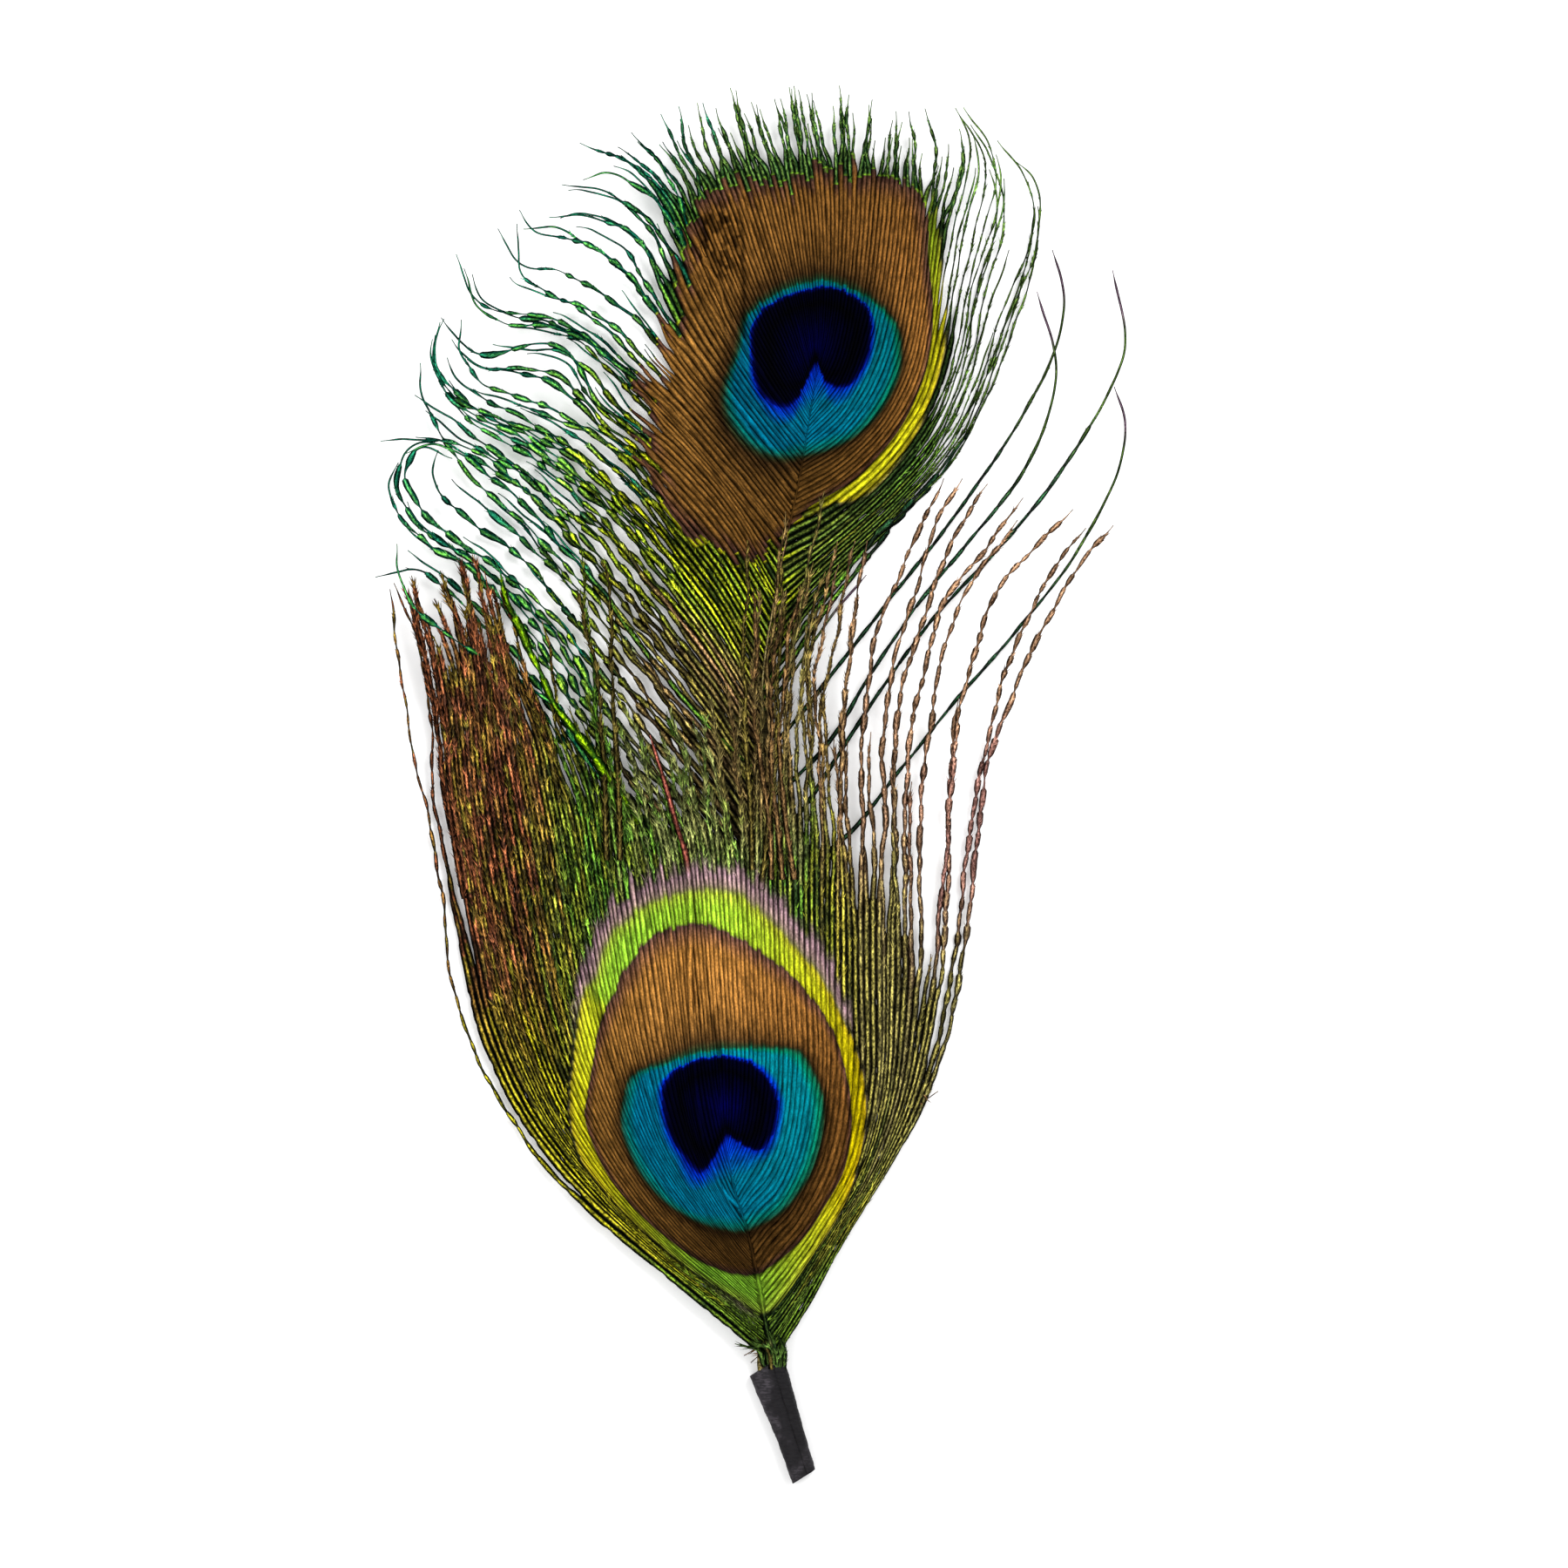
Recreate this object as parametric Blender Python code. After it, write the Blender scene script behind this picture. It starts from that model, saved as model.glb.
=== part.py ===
"""Two trimmed peacock eye feathers, one above the other, with their cut quills bound in a flat
black tape sleeve. The bunch lies on a surface, eyes up, quills towards -Y.

All lengths below are in millimetres and turn into metres where a mesh is made. The origin is the
middle of the footprint, on the surface that the feathers lie on.
"""

import bmesh
import bpy
import numpy as np

MM = 0.001

# --- Driving dimensions -------------------------------------------------------------------------
VANE_THICKNESS = 0.5      # of the hooked barbs and of a lock near the quill
TIP_THICKNESS = 0.3       # of a lock at its tip
TIP_WIDTH = 0.35
RIDGE_HEIGHT = 0.14       # how far a lock's middle stands above its two edges
LOCK_STEPS = 16           # cross-sections along each lock
SMOOTHING = 12            # points read from the smooth curve between two route points

TAPE_MOUTH = (1.75, -60.25)   # middle of the sleeve's end at the feathers
TAPE_END = (5.55, -71.7)      # middle of its cut end
TAPE_SLANT = 0.25             # how far each end is cut forward, per length across to the right
TAPE_HEIGHT = 2.2
TAPE_PLY = 0.2                # one layer of tape
TAPE_UNDERLAP = 0.4           # how far the lower ply reaches past the upper one, at the mouth's left
TAPE_SEAM = 0.3               # where the folded-over edge runs, as a share of the right half-width
# Half-widths left and right of the middle line, from the mouth to the cut end.
TAPE_LEFT = (2.0, 1.85, 1.62, 1.42, 1.36, 1.33)
TAPE_RIGHT = (1.9, 1.8, 1.66, 1.52, 1.42, 1.35)

# --- The front feather, whose eye covers the other one's bare quill -------------------------------
# Quill and shaft, from the cut end inside the tape to the last barbs: x, y, z, width, height.
FRONT_SHAFT = (
    (4.1, -65.4, 0.95, 0.9, 0.8),
    (3.36, -62.7, 0.95, 0.9, 0.8),
    (2.72, -60.6, 0.97, 0.9, 0.8),
    (2.42, -59.4, 1.45, 0.9, 0.8),
    (2.25, -58.4, 2.0, 0.9, 0.85),
    (1.95, -57.2, 2.4, 0.95, 0.85),
    (1.5, -55.0, 2.7, 0.95, 0.85),
    (1.05, -52.3, 3.0, 0.85, 0.8),
    (0.6, -50.0, 3.1, 0.8, 0.75),
    (-0.2, -46.5, 3.2, 0.7, 0.7),
    (-0.8, -44.5, 3.2, 0.65, 0.65),
    (-1.7, -41.5, 3.2, 0.55, 0.6),
    (-2.6, -37.0, 3.2, 0.4, 0.5),
)
# Where along Y one lock of barbs ends on the shaft and the next begins.
FRONT_STATIONS = (-59.2, -58.0, -56.6, -55.1, -53.4, -51.4, -49.2, -46.9, -44.6, -42.3, -39.8, -37.0)
# Locks from the lowest on the left, round the top, to the lowest on the right. Each is
# (share hooked to the next lock, width once loose, route of its middle line).
FRONT_LOCKS = (
    (0.14, 0.7, ((-0.5, -57.3, 2.05), (-2.8, -55.4, 1.95), (-10.0, -49.6, 1.5), (-17.5, -43.2, 1.1),
                 (-24.0, -36.0, 0.7), (-28.6, -27.5, 0.4), (-31.0, -19.0, 0.2), (-32.0, -11.0, 0.2),
                 (-33.4, -2.5, 0.5), (-35.0, 5.0, 1.0), (-36.3, 13.0, 1.7), (-37.0, 20.0, 2.4))),
    (0.2, 0.9, ((-0.4, -56.7, 2.1), (-2.5, -54.9, 2.0), (-9.7, -49.1, 1.6), (-17.0, -42.6, 1.25),
                (-23.0, -35.3, 0.9), (-27.2, -27.0, 0.65), (-29.3, -19.0, 0.5), (-31.0, -11.0, 0.55),
                (-32.6, -2.5, 0.8), (-33.0, 5.0, 1.3), (-34.2, 13.0, 2.0), (-36.8, 20.6, 2.8))),
    (0.66, 1.6, ((-2.2, -54.3, 2.1), (-9.3, -48.6, 1.7), (-16.0, -42.0, 1.5), (-21.6, -34.5, 1.25),
                 (-25.6, -26.0, 1.1), (-27.8, -17.5, 1.05), (-29.3, -9.0, 1.2), (-30.8, -1.0, 1.5),
                 (-31.8, 7.0, 1.95), (-33.2, 14.5, 2.4), (-35.4, 21.2, 2.9))),
    (0.84, 1.9, ((-1.8, -53.8, 2.05), (-8.9, -48.0, 1.85), (-15.2, -41.2, 1.7), (-20.2, -33.5, 1.6),
                 (-23.6, -25.0, 1.5), (-25.8, -16.5, 1.5), (-27.4, -8.0, 1.7), (-28.4, 0.0, 1.95),
                 (-29.0, 8.0, 2.25), (-30.0, 15.0, 2.65), (-32.2, 21.8, 3.1))),
    (0.86, 1.9, ((-1.5, -53.2, 2.15), (-8.5, -47.3, 2.0), (-14.3, -40.3, 1.9), (-18.9, -32.3, 1.85),
                 (-21.9, -24.0, 1.8), (-23.8, -15.5, 1.85), (-25.3, -7.0, 2.0), (-26.6, 1.0, 2.2),
                 (-27.5, 9.0, 2.4), (-28.6, 16.0, 2.75), (-30.6, 23.0, 3.3))),
    (0.82, 1.9, ((-1.3, -52.4, 2.3), (-7.9, -46.3, 2.2), (-13.2, -39.3, 2.1), (-17.3, -31.2, 2.05),
                 (-20.0, -23.0, 2.0), (-21.8, -14.5, 2.05), (-23.3, -6.0, 2.15), (-24.8, 2.0, 2.3),
                 (-26.0, 9.5, 2.5), (-27.3, 16.5, 2.9), (-28.8, 23.5, 3.4))),
    (0.68, 1.8, ((-1.1, -51.3, 2.45), (-7.2, -45.0, 2.4), (-11.9, -38.3, 2.3), (-15.3, -30.5, 2.25),
                 (-17.6, -22.5, 2.2), (-19.3, -14.0, 2.2), (-20.9, -5.5, 2.25), (-22.5, 2.5, 2.35),
                 (-23.9, 9.5, 2.5), (-25.2, 16.0, 2.8), (-26.6, 22.0, 3.2))),
    (0.56, 1.4, ((-1.2, -49.8, 2.6), (-6.4, -43.5, 2.6), (-10.4, -37.0, 2.5), (-13.1, -29.5, 2.5),
                 (-15.0, -21.8, 2.4), (-16.5, -13.5, 2.35), (-18.0, -5.5, 2.35), (-19.4, 2.0, 2.4),
                 (-20.8, 9.0, 2.5), (-22.0, 15.0, 2.8), (-23.6, 20.5, 3.1))),
    (0.5, 1.2, ((-1.5, -47.8, 2.8), (-5.6, -42.0, 2.8), (-8.8, -35.8, 2.75), (-10.8, -28.8, 2.7),
                (-12.3, -21.3, 2.6), (-13.5, -13.3, 2.5), (-14.6, -5.5, 2.45), (-15.4, 2.0, 2.45),
                (-15.8, 9.0, 2.6), (-16.0, 16.0, 2.9), (-16.6, 24.0, 3.3))),
    (0.48, 1.2, ((-1.8, -45.6, 3.0), (-4.9, -40.3, 3.0), (-7.0, -34.5, 2.95), (-8.4, -28.0, 2.9),
                 (-9.5, -21.0, 2.8), (-10.3, -13.3, 2.65), (-11.0, -5.5, 2.5), (-11.6, 2.0, 2.5),
                 (-12.0, 9.0, 2.6), (-12.4, 15.5, 2.8), (-12.8, 21.5, 3.2))),
    (0.46, 1.2, ((-2.3, -43.0, 3.15), (-4.3, -38.5, 3.15), (-5.5, -33.5, 3.1), (-6.2, -27.5, 3.0),
                 (-6.9, -20.8, 2.9), (-7.4, -13.3, 2.75), (-7.8, -5.5, 2.6), (-8.0, 2.0, 2.5),
                 (-8.0, 9.0, 2.5), (-7.8, 15.5, 2.7), (-7.6, 21.5, 3.0))),
    (0.42, 1.1, ((-2.9, -33.0, 3.2), (-3.2, -27.5, 3.15), (-3.7, -21.0, 3.05), (-4.2, -13.5, 2.9),
                 (-4.4, -5.5, 2.7), (-4.2, 2.0, 2.6), (-3.6, 9.0, 2.5), (-2.9, 16.0, 2.5),
                 (-2.9, 22.5, 2.6), (-3.8, 28.5, 2.8))),
    (0.45, 1.0, ((-0.9, -35.5, 3.15), (-0.3, -29.0, 3.1), (-0.6, -21.5, 3.0), (-1.0, -13.5, 2.85),
                 (-0.9, -5.0, 2.7), (-0.4, 3.0, 2.6), (0.0, 10.0, 2.5), (0.2, 16.0, 2.5),
                 (0.7, 26.0, 2.7))),
    (0.45, 1.0, ((0.4, -38.5, 3.1), (1.6, -35.3, 3.1), (2.3, -29.0, 3.0), (2.0, -21.5, 2.9),
                 (1.7, -13.5, 2.75), (1.6, -5.0, 2.6), (1.7, 3.0, 2.5), (1.9, 10.0, 2.45),
                 (2.5, 17.0, 2.5), (3.4, 28.0, 2.8))),
    (0.45, 1.0, ((0.3, -43.0, 3.1), (2.2, -40.8, 3.0), (3.9, -36.5, 3.0), (4.7, -29.0, 2.9),
                 (4.4, -21.5, 2.75), (4.2, -13.5, 2.65), (4.0, -5.0, 2.5), (3.7, 3.0, 2.4),
                 (3.8, 10.0, 2.4), (4.9, 17.5, 2.6), (7.8, 30.0, 3.0))),
    (0.46, 1.0, ((1.3, -45.0, 3.0), (3.6, -42.5, 2.9), (5.7, -37.3, 2.85), (6.8, -29.5, 2.7),
                 (6.6, -21.5, 2.6), (6.4, -13.5, 2.5), (6.4, -5.0, 2.4), (6.0, 3.0, 2.35),
                 (5.9, 10.0, 2.4), (6.7, 17.0, 2.6), (8.6, 25.0, 3.0))),
    (0.47, 1.0, ((2.2, -47.0, 2.85), (4.8, -44.0, 2.75), (7.5, -38.0, 2.65), (8.6, -30.0, 2.5),
                 (8.5, -21.5, 2.4), (8.5, -13.5, 2.35), (8.5, -5.0, 2.3), (7.9, 3.0, 2.3),
                 (7.8, 10.0, 2.4), (8.9, 17.0, 2.6), (10.6, 25.0, 3.0))),
    (0.46, 1.1, ((2.9, -48.9, 2.7), (6.0, -45.0, 2.5), (9.1, -38.6, 2.4), (10.4, -30.5, 2.3),
                 (10.3, -21.5, 2.2), (10.2, -13.5, 2.15), (10.0, -5.0, 2.15), (9.7, 3.0, 2.2),
                 (9.9, 10.0, 2.3), (10.5, 17.0, 2.5), (11.9, 25.0, 2.9))),
    (0.44, 1.0, ((3.6, -50.6, 2.5), (7.0, -45.8, 2.3), (10.5, -39.3, 2.2), (12.1, -31.0, 2.1),
                 (12.1, -22.0, 2.0), (12.0, -13.5, 1.95), (12.0, -5.0, 2.0), (11.7, 3.0, 2.1),
                 (12.1, 10.0, 2.2), (14.2, 19.0, 2.5), (19.9, 31.5, 3.2))),
    (0.42, 1.2, ((4.2, -52.0, 2.3), (8.0, -46.2, 2.1), (11.6, -39.7, 1.95), (13.8, -31.4, 1.8),
                 (14.1, -22.0, 1.75), (14.0, -13.5, 1.75), (14.0, -5.0, 1.9), (14.2, 3.0, 2.1),
                 (14.9, 10.0, 2.3), (17.4, 19.5, 2.7), (22.8, 31.0, 3.4))),
    (0.38, 1.2, ((4.8, -53.0, 2.15), (8.8, -46.4, 1.9), (12.5, -40.0, 1.7), (15.3, -31.8, 1.5),
                 (16.4, -22.0, 1.4), (16.6, -13.5, 1.5), (16.8, -5.0, 1.75), (17.0, 3.0, 2.0),
                 (18.2, 11.0, 2.3), (21.0, 20.0, 2.7), (27.5, 29.3, 3.3))),
    (0.3, 1.3, ((3.7, -56.3, 2.0), (5.4, -53.5, 2.05), (9.4, -46.6, 1.7), (13.4, -40.0, 1.4),
                (16.9, -32.0, 1.05), (19.0, -22.0, 0.85), (19.8, -13.5, 0.95), (20.3, -5.0, 1.35),
                (20.8, 3.0, 1.8), (22.4, 11.0, 2.2), (25.6, 20.0, 2.7), (33.2, 28.0, 3.4))),
    (0.0, 1.2, ((3.9, -57.2, 1.95), (5.8, -54.2, 2.0), (9.9, -46.9, 1.6), (14.2, -40.0, 1.2),
                (18.2, -32.3, 0.7), (21.4, -22.0, 0.25), (22.6, -13.5, 0.2), (23.4, -5.0, 0.5),
                (24.3, 2.0, 1.1), (26.8, 10.0, 1.8), (31.0, 18.5, 2.5), (37.2, 26.8, 3.2))),
)

# --- The rear feather, which lies on the surface and reaches furthest from the tape ---------------
REAR_SHAFT = (
    (5.35, -71.3, 0.95, 0.85, 0.8),
    (4.3, -68.4, 0.95, 0.9, 0.8),
    (2.85, -65.4, 0.95, 0.9, 0.8),
    (1.95, -63.0, 0.95, 0.9, 0.8),
    (1.25, -61.0, 0.92, 0.85, 0.8),
    (1.12, -59.6, 0.6, 0.8, 0.7),
    (1.35, -57.8, 0.5, 0.8, 0.7),
    (2.0, -55.0, 0.55, 0.85, 0.75),
    (2.9, -50.0, 0.8, 0.9, 0.8),
    (2.9, -35.0, 0.95, 0.9, 0.8),
    (2.5, -22.0, 1.0, 0.85, 0.75),
    (2.1, -10.0, 1.0, 0.8, 0.72),
    (1.5, 0.0, 1.0, 0.75, 0.7),
    (1.2, 6.0, 1.0, 0.72, 0.68),
    (1.4, 11.5, 1.0, 0.7, 0.66),
    (2.2, 17.0, 1.0, 0.65, 0.64),
    (3.2, 22.5, 1.05, 0.6, 0.62),
    (4.4, 28.0, 1.1, 0.55, 0.6),
    (5.4, 33.0, 1.1, 0.5, 0.56),
    (6.2, 38.0, 1.1, 0.45, 0.52),
    (6.9, 42.5, 1.1, 0.4, 0.5),
)
REAR_STATIONS = (-22.0, -17.5, -13.0, -8.5, -4.0, 0.5, 5.0, 9.5, 14.0, 18.0, 22.0, 26.0, 29.5, 33.0,
                 36.5, 39.5, 42.5)
REAR_LOCKS = (
    (0.08, 1.1, ((-4.0, -14.5, 0.95), (-10.5, -7.3, 0.9), (-16.2, 0.0, 0.85), (-20.6, 6.4, 0.8),
                 (-24.5, 12.4, 0.75), (-28.6, 17.6, 0.75), (-32.3, 21.2, 1.1), (-35.3, 22.6, 2.0),
                 (-38.8, 21.8, 3.0))),
    (0.12, 1.1, ((-4.0, -10.3, 0.95), (-10.3, -2.8, 0.9), (-15.8, 4.6, 0.85), (-20.3, 11.2, 0.8),
                 (-24.5, 17.0, 0.8), (-29.0, 21.8, 1.1), (-33.5, 24.6, 2.4), (-36.5, 27.6, 4.0),
                 (-37.2, 30.3, 5.0), (-36.4, 33.0, 5.6))),
    (0.16, 1.1, ((-4.0, -5.6, 0.95), (-10.0, 1.6, 0.85), (-15.5, 8.9, 0.8), (-20.0, 15.2, 0.75),
                 (-24.5, 20.5, 0.8), (-29.3, 24.4, 1.4), (-33.8, 27.5, 2.4), (-36.0, 31.0, 3.0),
                 (-35.2, 34.2, 3.0), (-33.3, 35.0, 2.9))),
    (0.2, 1.1, ((-4.0, -1.3, 0.9), (-9.8, 5.8, 0.85), (-15.0, 12.7, 0.75), (-19.5, 18.7, 0.7),
                (-23.8, 23.3, 0.8), (-28.3, 26.4, 1.2), (-31.6, 29.0, 1.8), (-32.8, 31.8, 2.4),
                (-31.9, 34.2, 2.9))),
    (0.25, 1.2, ((-4.0, 3.2, 0.9), (-9.5, 10.0, 0.8), (-14.5, 16.7, 0.7), (-19.0, 22.5, 0.65),
                 (-23.5, 27.2, 0.7), (-27.8, 31.0, 0.8), (-31.3, 35.0, 0.8), (-33.3, 39.3, 0.8),
                 (-33.7, 43.4, 1.2))),
    (0.3, 1.2, ((-4.0, 7.8, 0.9), (-9.3, 14.4, 0.8), (-14.2, 20.8, 0.7), (-18.8, 26.2, 0.8),
                (-23.5, 30.7, 1.5), (-28.0, 33.9, 2.8), (-32.5, 35.5, 4.2), (-38.0, 35.5, 5.4))),
    (0.34, 1.2, ((-4.0, 12.6, 0.9), (-9.0, 19.1, 0.75), (-13.8, 25.1, 0.65), (-18.5, 30.1, 0.7),
                 (-23.5, 34.0, 1.1), (-28.5, 36.8, 1.9), (-32.0, 40.0, 2.7), (-33.3, 43.5, 3.3),
                 (-33.0, 46.2, 3.9))),
    (0.38, 1.2, ((-3.6, 17.3, 0.9), (-8.5, 23.8, 0.75), (-13.2, 29.4, 0.65), (-18.0, 33.7, 0.9),
                 (-23.3, 36.8, 1.7), (-28.3, 38.9, 3.0), (-31.3, 41.9, 4.3), (-32.0, 45.0, 5.2),
                 (-31.2, 47.6, 5.9))),
    (0.4, 1.3, ((-2.8, 21.8, 0.95), (-7.7, 28.1, 0.75), (-12.5, 33.3, 0.7), (-17.5, 37.0, 1.1),
                (-23.0, 39.5, 2.1), (-27.8, 41.0, 3.5), (-30.2, 44.0, 5.3), (-30.0, 47.6, 6.6))),
    (0.4, 0.6, ((-2.0, 25.8, 0.95), (-6.8, 31.5, 0.75), (-11.3, 35.7, 0.9), (-15.2, 38.5, 1.9),
                (-17.0, 41.2, 2.9), (-18.9, 44.2, 3.5), (-22.5, 45.1, 3.6), (-26.8, 44.0, 3.2),
                (-30.0, 45.0, 2.4), (-32.3, 47.7, 1.8))),
    (0.42, 1.2, ((-1.2, 30.0, 0.95), (-6.1, 35.8, 0.7), (-10.7, 40.6, 0.6), (-14.8, 44.6, 0.8),
                 (-18.6, 47.6, 1.2), (-22.3, 49.0, 1.7), (-26.0, 49.2, 2.5), (-28.5, 51.0, 3.5),
                 (-29.3, 54.6, 4.6))),
    (0.44, 1.2, ((-0.1, 33.5, 0.95), (-4.6, 39.0, 0.65), (-8.8, 44.0, 0.45), (-12.4, 48.0, 0.8),
                 (-16.3, 51.0, 1.5), (-20.3, 52.5, 2.5), (-23.6, 54.0, 3.4), (-25.0, 57.5, 4.2))),
    (0.46, 1.1, ((1.0, 36.3, 0.95), (-3.2, 41.7, 0.6), (-6.9, 47.0, 0.3), (-9.6, 51.3, 0.8),
                 (-12.3, 54.7, 1.8), (-15.5, 56.7, 3.0), (-19.0, 57.7, 4.4), (-23.0, 57.0, 6.0))),
    (0.6, 1.3, ((2.0, 39.5, 0.95), (-1.4, 44.8, 0.6), (-4.2, 50.3, 0.3), (-6.4, 55.3, 0.5),
                (-8.7, 60.0, 1.3), (-11.5, 63.0, 2.4), (-14.6, 64.6, 3.6), (-17.6, 65.0, 4.8))),
    (0.66, 1.6, ((3.8, 42.3, 1.0), (1.2, 47.3, 0.7), (-1.2, 52.8, 0.4), (-3.2, 58.0, 0.4),
                 (-5.0, 62.5, 0.9), (-6.6, 66.0, 1.7), (-7.4, 69.8, 2.6))),
    (0.66, 1.6, ((5.5, 45.3, 1.05), (4.0, 50.5, 0.8), (2.4, 56.0, 0.55), (1.0, 61.0, 0.5),
                 (-0.4, 65.0, 0.9), (-1.6, 68.4, 1.4), (-2.6, 71.6, 2.0))),
    (0.66, 1.6, ((6.8, 47.5, 1.05), (6.5, 53.0, 0.8), (6.0, 58.5, 0.6), (5.4, 63.0, 0.6),
                 (4.6, 67.2, 0.9), (3.6, 71.8, 1.4))),
    (0.68, 1.6, ((8.3, 46.0, 1.05), (9.1, 52.0, 0.8), (9.4, 58.0, 0.55), (9.4, 63.0, 0.6),
                 (9.2, 67.5, 0.9), (8.8, 72.0, 1.3))),
    (0.7, 1.6, ((9.3, 42.5, 1.0), (10.8, 48.0, 0.6), (11.7, 54.0, 0.2), (12.2, 60.0, 0.2),
                (12.5, 64.5, 0.5), (12.8, 67.8, 1.0), (13.1, 70.5, 1.6))),
    (0.7, 1.6, ((9.6, 38.2, 1.0), (12.4, 43.5, 0.6), (14.0, 49.5, 0.15), (15.0, 56.0, 0.15),
                (15.6, 61.5, 0.2), (15.9, 65.5, 0.8), (16.2, 69.3, 1.5))),
    (0.66, 1.6, ((9.5, 34.0, 1.0), (13.7, 38.5, 0.7), (16.3, 44.5, 0.2), (17.5, 51.0, 0.15),
                 (18.2, 57.5, 0.2), (18.8, 62.5, 0.6), (19.1, 66.3, 1.2), (18.0, 69.6, 2.0))),
    (0.52, 1.1, ((9.0, 30.3, 1.0), (14.0, 34.8, 0.7), (17.6, 40.5, 0.3), (19.3, 47.0, 0.15),
                 (20.0, 54.0, 0.3), (20.5, 60.0, 0.8), (20.9, 64.5, 1.4), (20.3, 68.0, 2.2),
                 (18.6, 70.2, 3.3))),
    (0.42, 1.0, ((8.5, 26.8, 0.95), (14.3, 31.9, 0.7), (18.8, 37.9, 0.45), (21.2, 44.5, 0.3),
                 (22.2, 51.5, 0.5), (22.7, 58.0, 1.0), (22.9, 63.0, 1.6), (22.2, 66.8, 2.5),
                 (20.4, 69.8, 4.3))),
    (0.38, 0.9, ((8.0, 24.2, 0.9), (14.5, 29.9, 0.65), (19.7, 36.1, 0.4), (22.6, 43.0, 0.3),
                 (24.3, 50.0, 0.5), (25.3, 57.0, 1.0), (25.4, 62.0, 1.8), (24.3, 65.8, 3.0),
                 (21.7, 69.0, 5.3))),
    (0.36, 0.8, ((7.5, 21.7, 0.9), (14.5, 28.1, 0.6), (20.4, 34.8, 0.35), (23.8, 41.8, 0.3),
                 (26.1, 49.0, 0.5), (27.5, 55.5, 1.0), (27.7, 60.0, 1.9), (26.4, 64.0, 3.4),
                 (23.5, 67.3, 6.2))),
    (0.0, 0.8, ((7.0, 19.0, 0.9), (14.3, 26.3, 0.6), (20.9, 33.4, 0.3), (24.9, 40.7, 0.25),
                 (27.8, 48.0, 0.4), (29.4, 54.0, 0.7), (30.1, 59.3, 1.3), (29.4, 62.5, 2.0),
                 (27.6, 64.2, 2.8))),
    (0.0, 0.6, ((4.2, 11.0, 0.9), (8.3, 17.0, 0.7), (12.0, 21.5, 0.6))),
    (0.0, 0.6, ((4.7, 6.5, 0.9), (8.7, 11.5, 0.8), (14.5, 19.0, 0.7), (19.7, 25.7, 0.5),
                (24.0, 31.5, 0.3), (28.0, 37.6, 0.3), (31.0, 43.5, 0.6), (32.4, 48.5, 1.3),
                (32.2, 51.8, 2.0), (31.2, 55.0, 2.8))),
    (0.0, 0.6, ((5.0, 0.8, 0.9), (8.6, 4.8, 0.8), (12.5, 11.2, 0.75), (17.0, 18.0, 0.7),
                (22.0, 24.2, 0.7), (27.2, 30.5, 0.9), (30.3, 36.5, 1.7), (31.5, 41.5, 2.6),
                (31.2, 45.3, 3.3), (29.6, 50.6, 4.2))),
    (0.0, 0.6, ((5.3, -3.0, 0.9), (9.3, 3.2, 0.8), (14.5, 11.0, 0.7), (20.0, 18.2, 0.6),
                (26.0, 24.6, 0.5), (31.5, 31.2, 0.6), (35.5, 37.5, 1.1), (38.0, 42.5, 1.9),
                (38.7, 46.2, 2.7), (37.4, 52.8, 4.0))),
    (0.0, 0.6, ((5.5, -9.0, 0.9), (10.7, -4.8, 0.75), (15.5, 1.3, 0.6), (21.0, 8.2, 0.5),
                (27.0, 15.0, 0.5), (32.5, 22.0, 0.7), (36.4, 28.5, 1.3), (38.4, 33.5, 2.0),
                (38.7, 37.5, 2.8), (37.5, 40.8, 3.6))),
    (0.0, 0.6, ((5.0, -12.5, 0.9), (8.0, -9.8, 0.75), (10.5, -8.2, 0.7))),
    (0.0, 0.6, ((5.0, -17.0, 0.95), (7.5, -14.8, 0.8), (9.5, -13.6, 0.7))),
)


# --- Curves -------------------------------------------------------------------------------------
def smooth_path(route, steps):
    """A smooth curve through the route's points, read at steps + 1 places an equal way apart."""
    p = np.array(route, float)
    p = np.vstack([2 * p[0] - p[1], p, 2 * p[-1] - p[-2]])
    t = np.linspace(0, 1, SMOOTHING, endpoint=False)[:, None]
    spans = [
        0.5 * (2 * b + (c - a) * t + (2 * a - 5 * b + 4 * c - d) * t**2 + (3 * b - a - 3 * c + d) * t**3)
        for a, b, c, d in zip(p, p[1:], p[2:], p[3:])
    ]
    fine = np.vstack([*spans, p[-2:-1]])
    along = np.concatenate([[0], np.cumsum(np.linalg.norm(np.diff(fine[:, :3], axis=0), axis=1))])
    at = np.linspace(0, along[-1], steps + 1)
    return np.column_stack([np.interp(at, along, column) for column in fine.T])


def sideways(path):
    """Unit vectors in the XY plane that point to the left of the way the path runs."""
    run = np.gradient(path[:, :2], axis=0)
    run /= np.linalg.norm(run, axis=1)[:, None]
    return np.column_stack([-run[:, 1], run[:, 0], np.zeros(len(run))])


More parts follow.
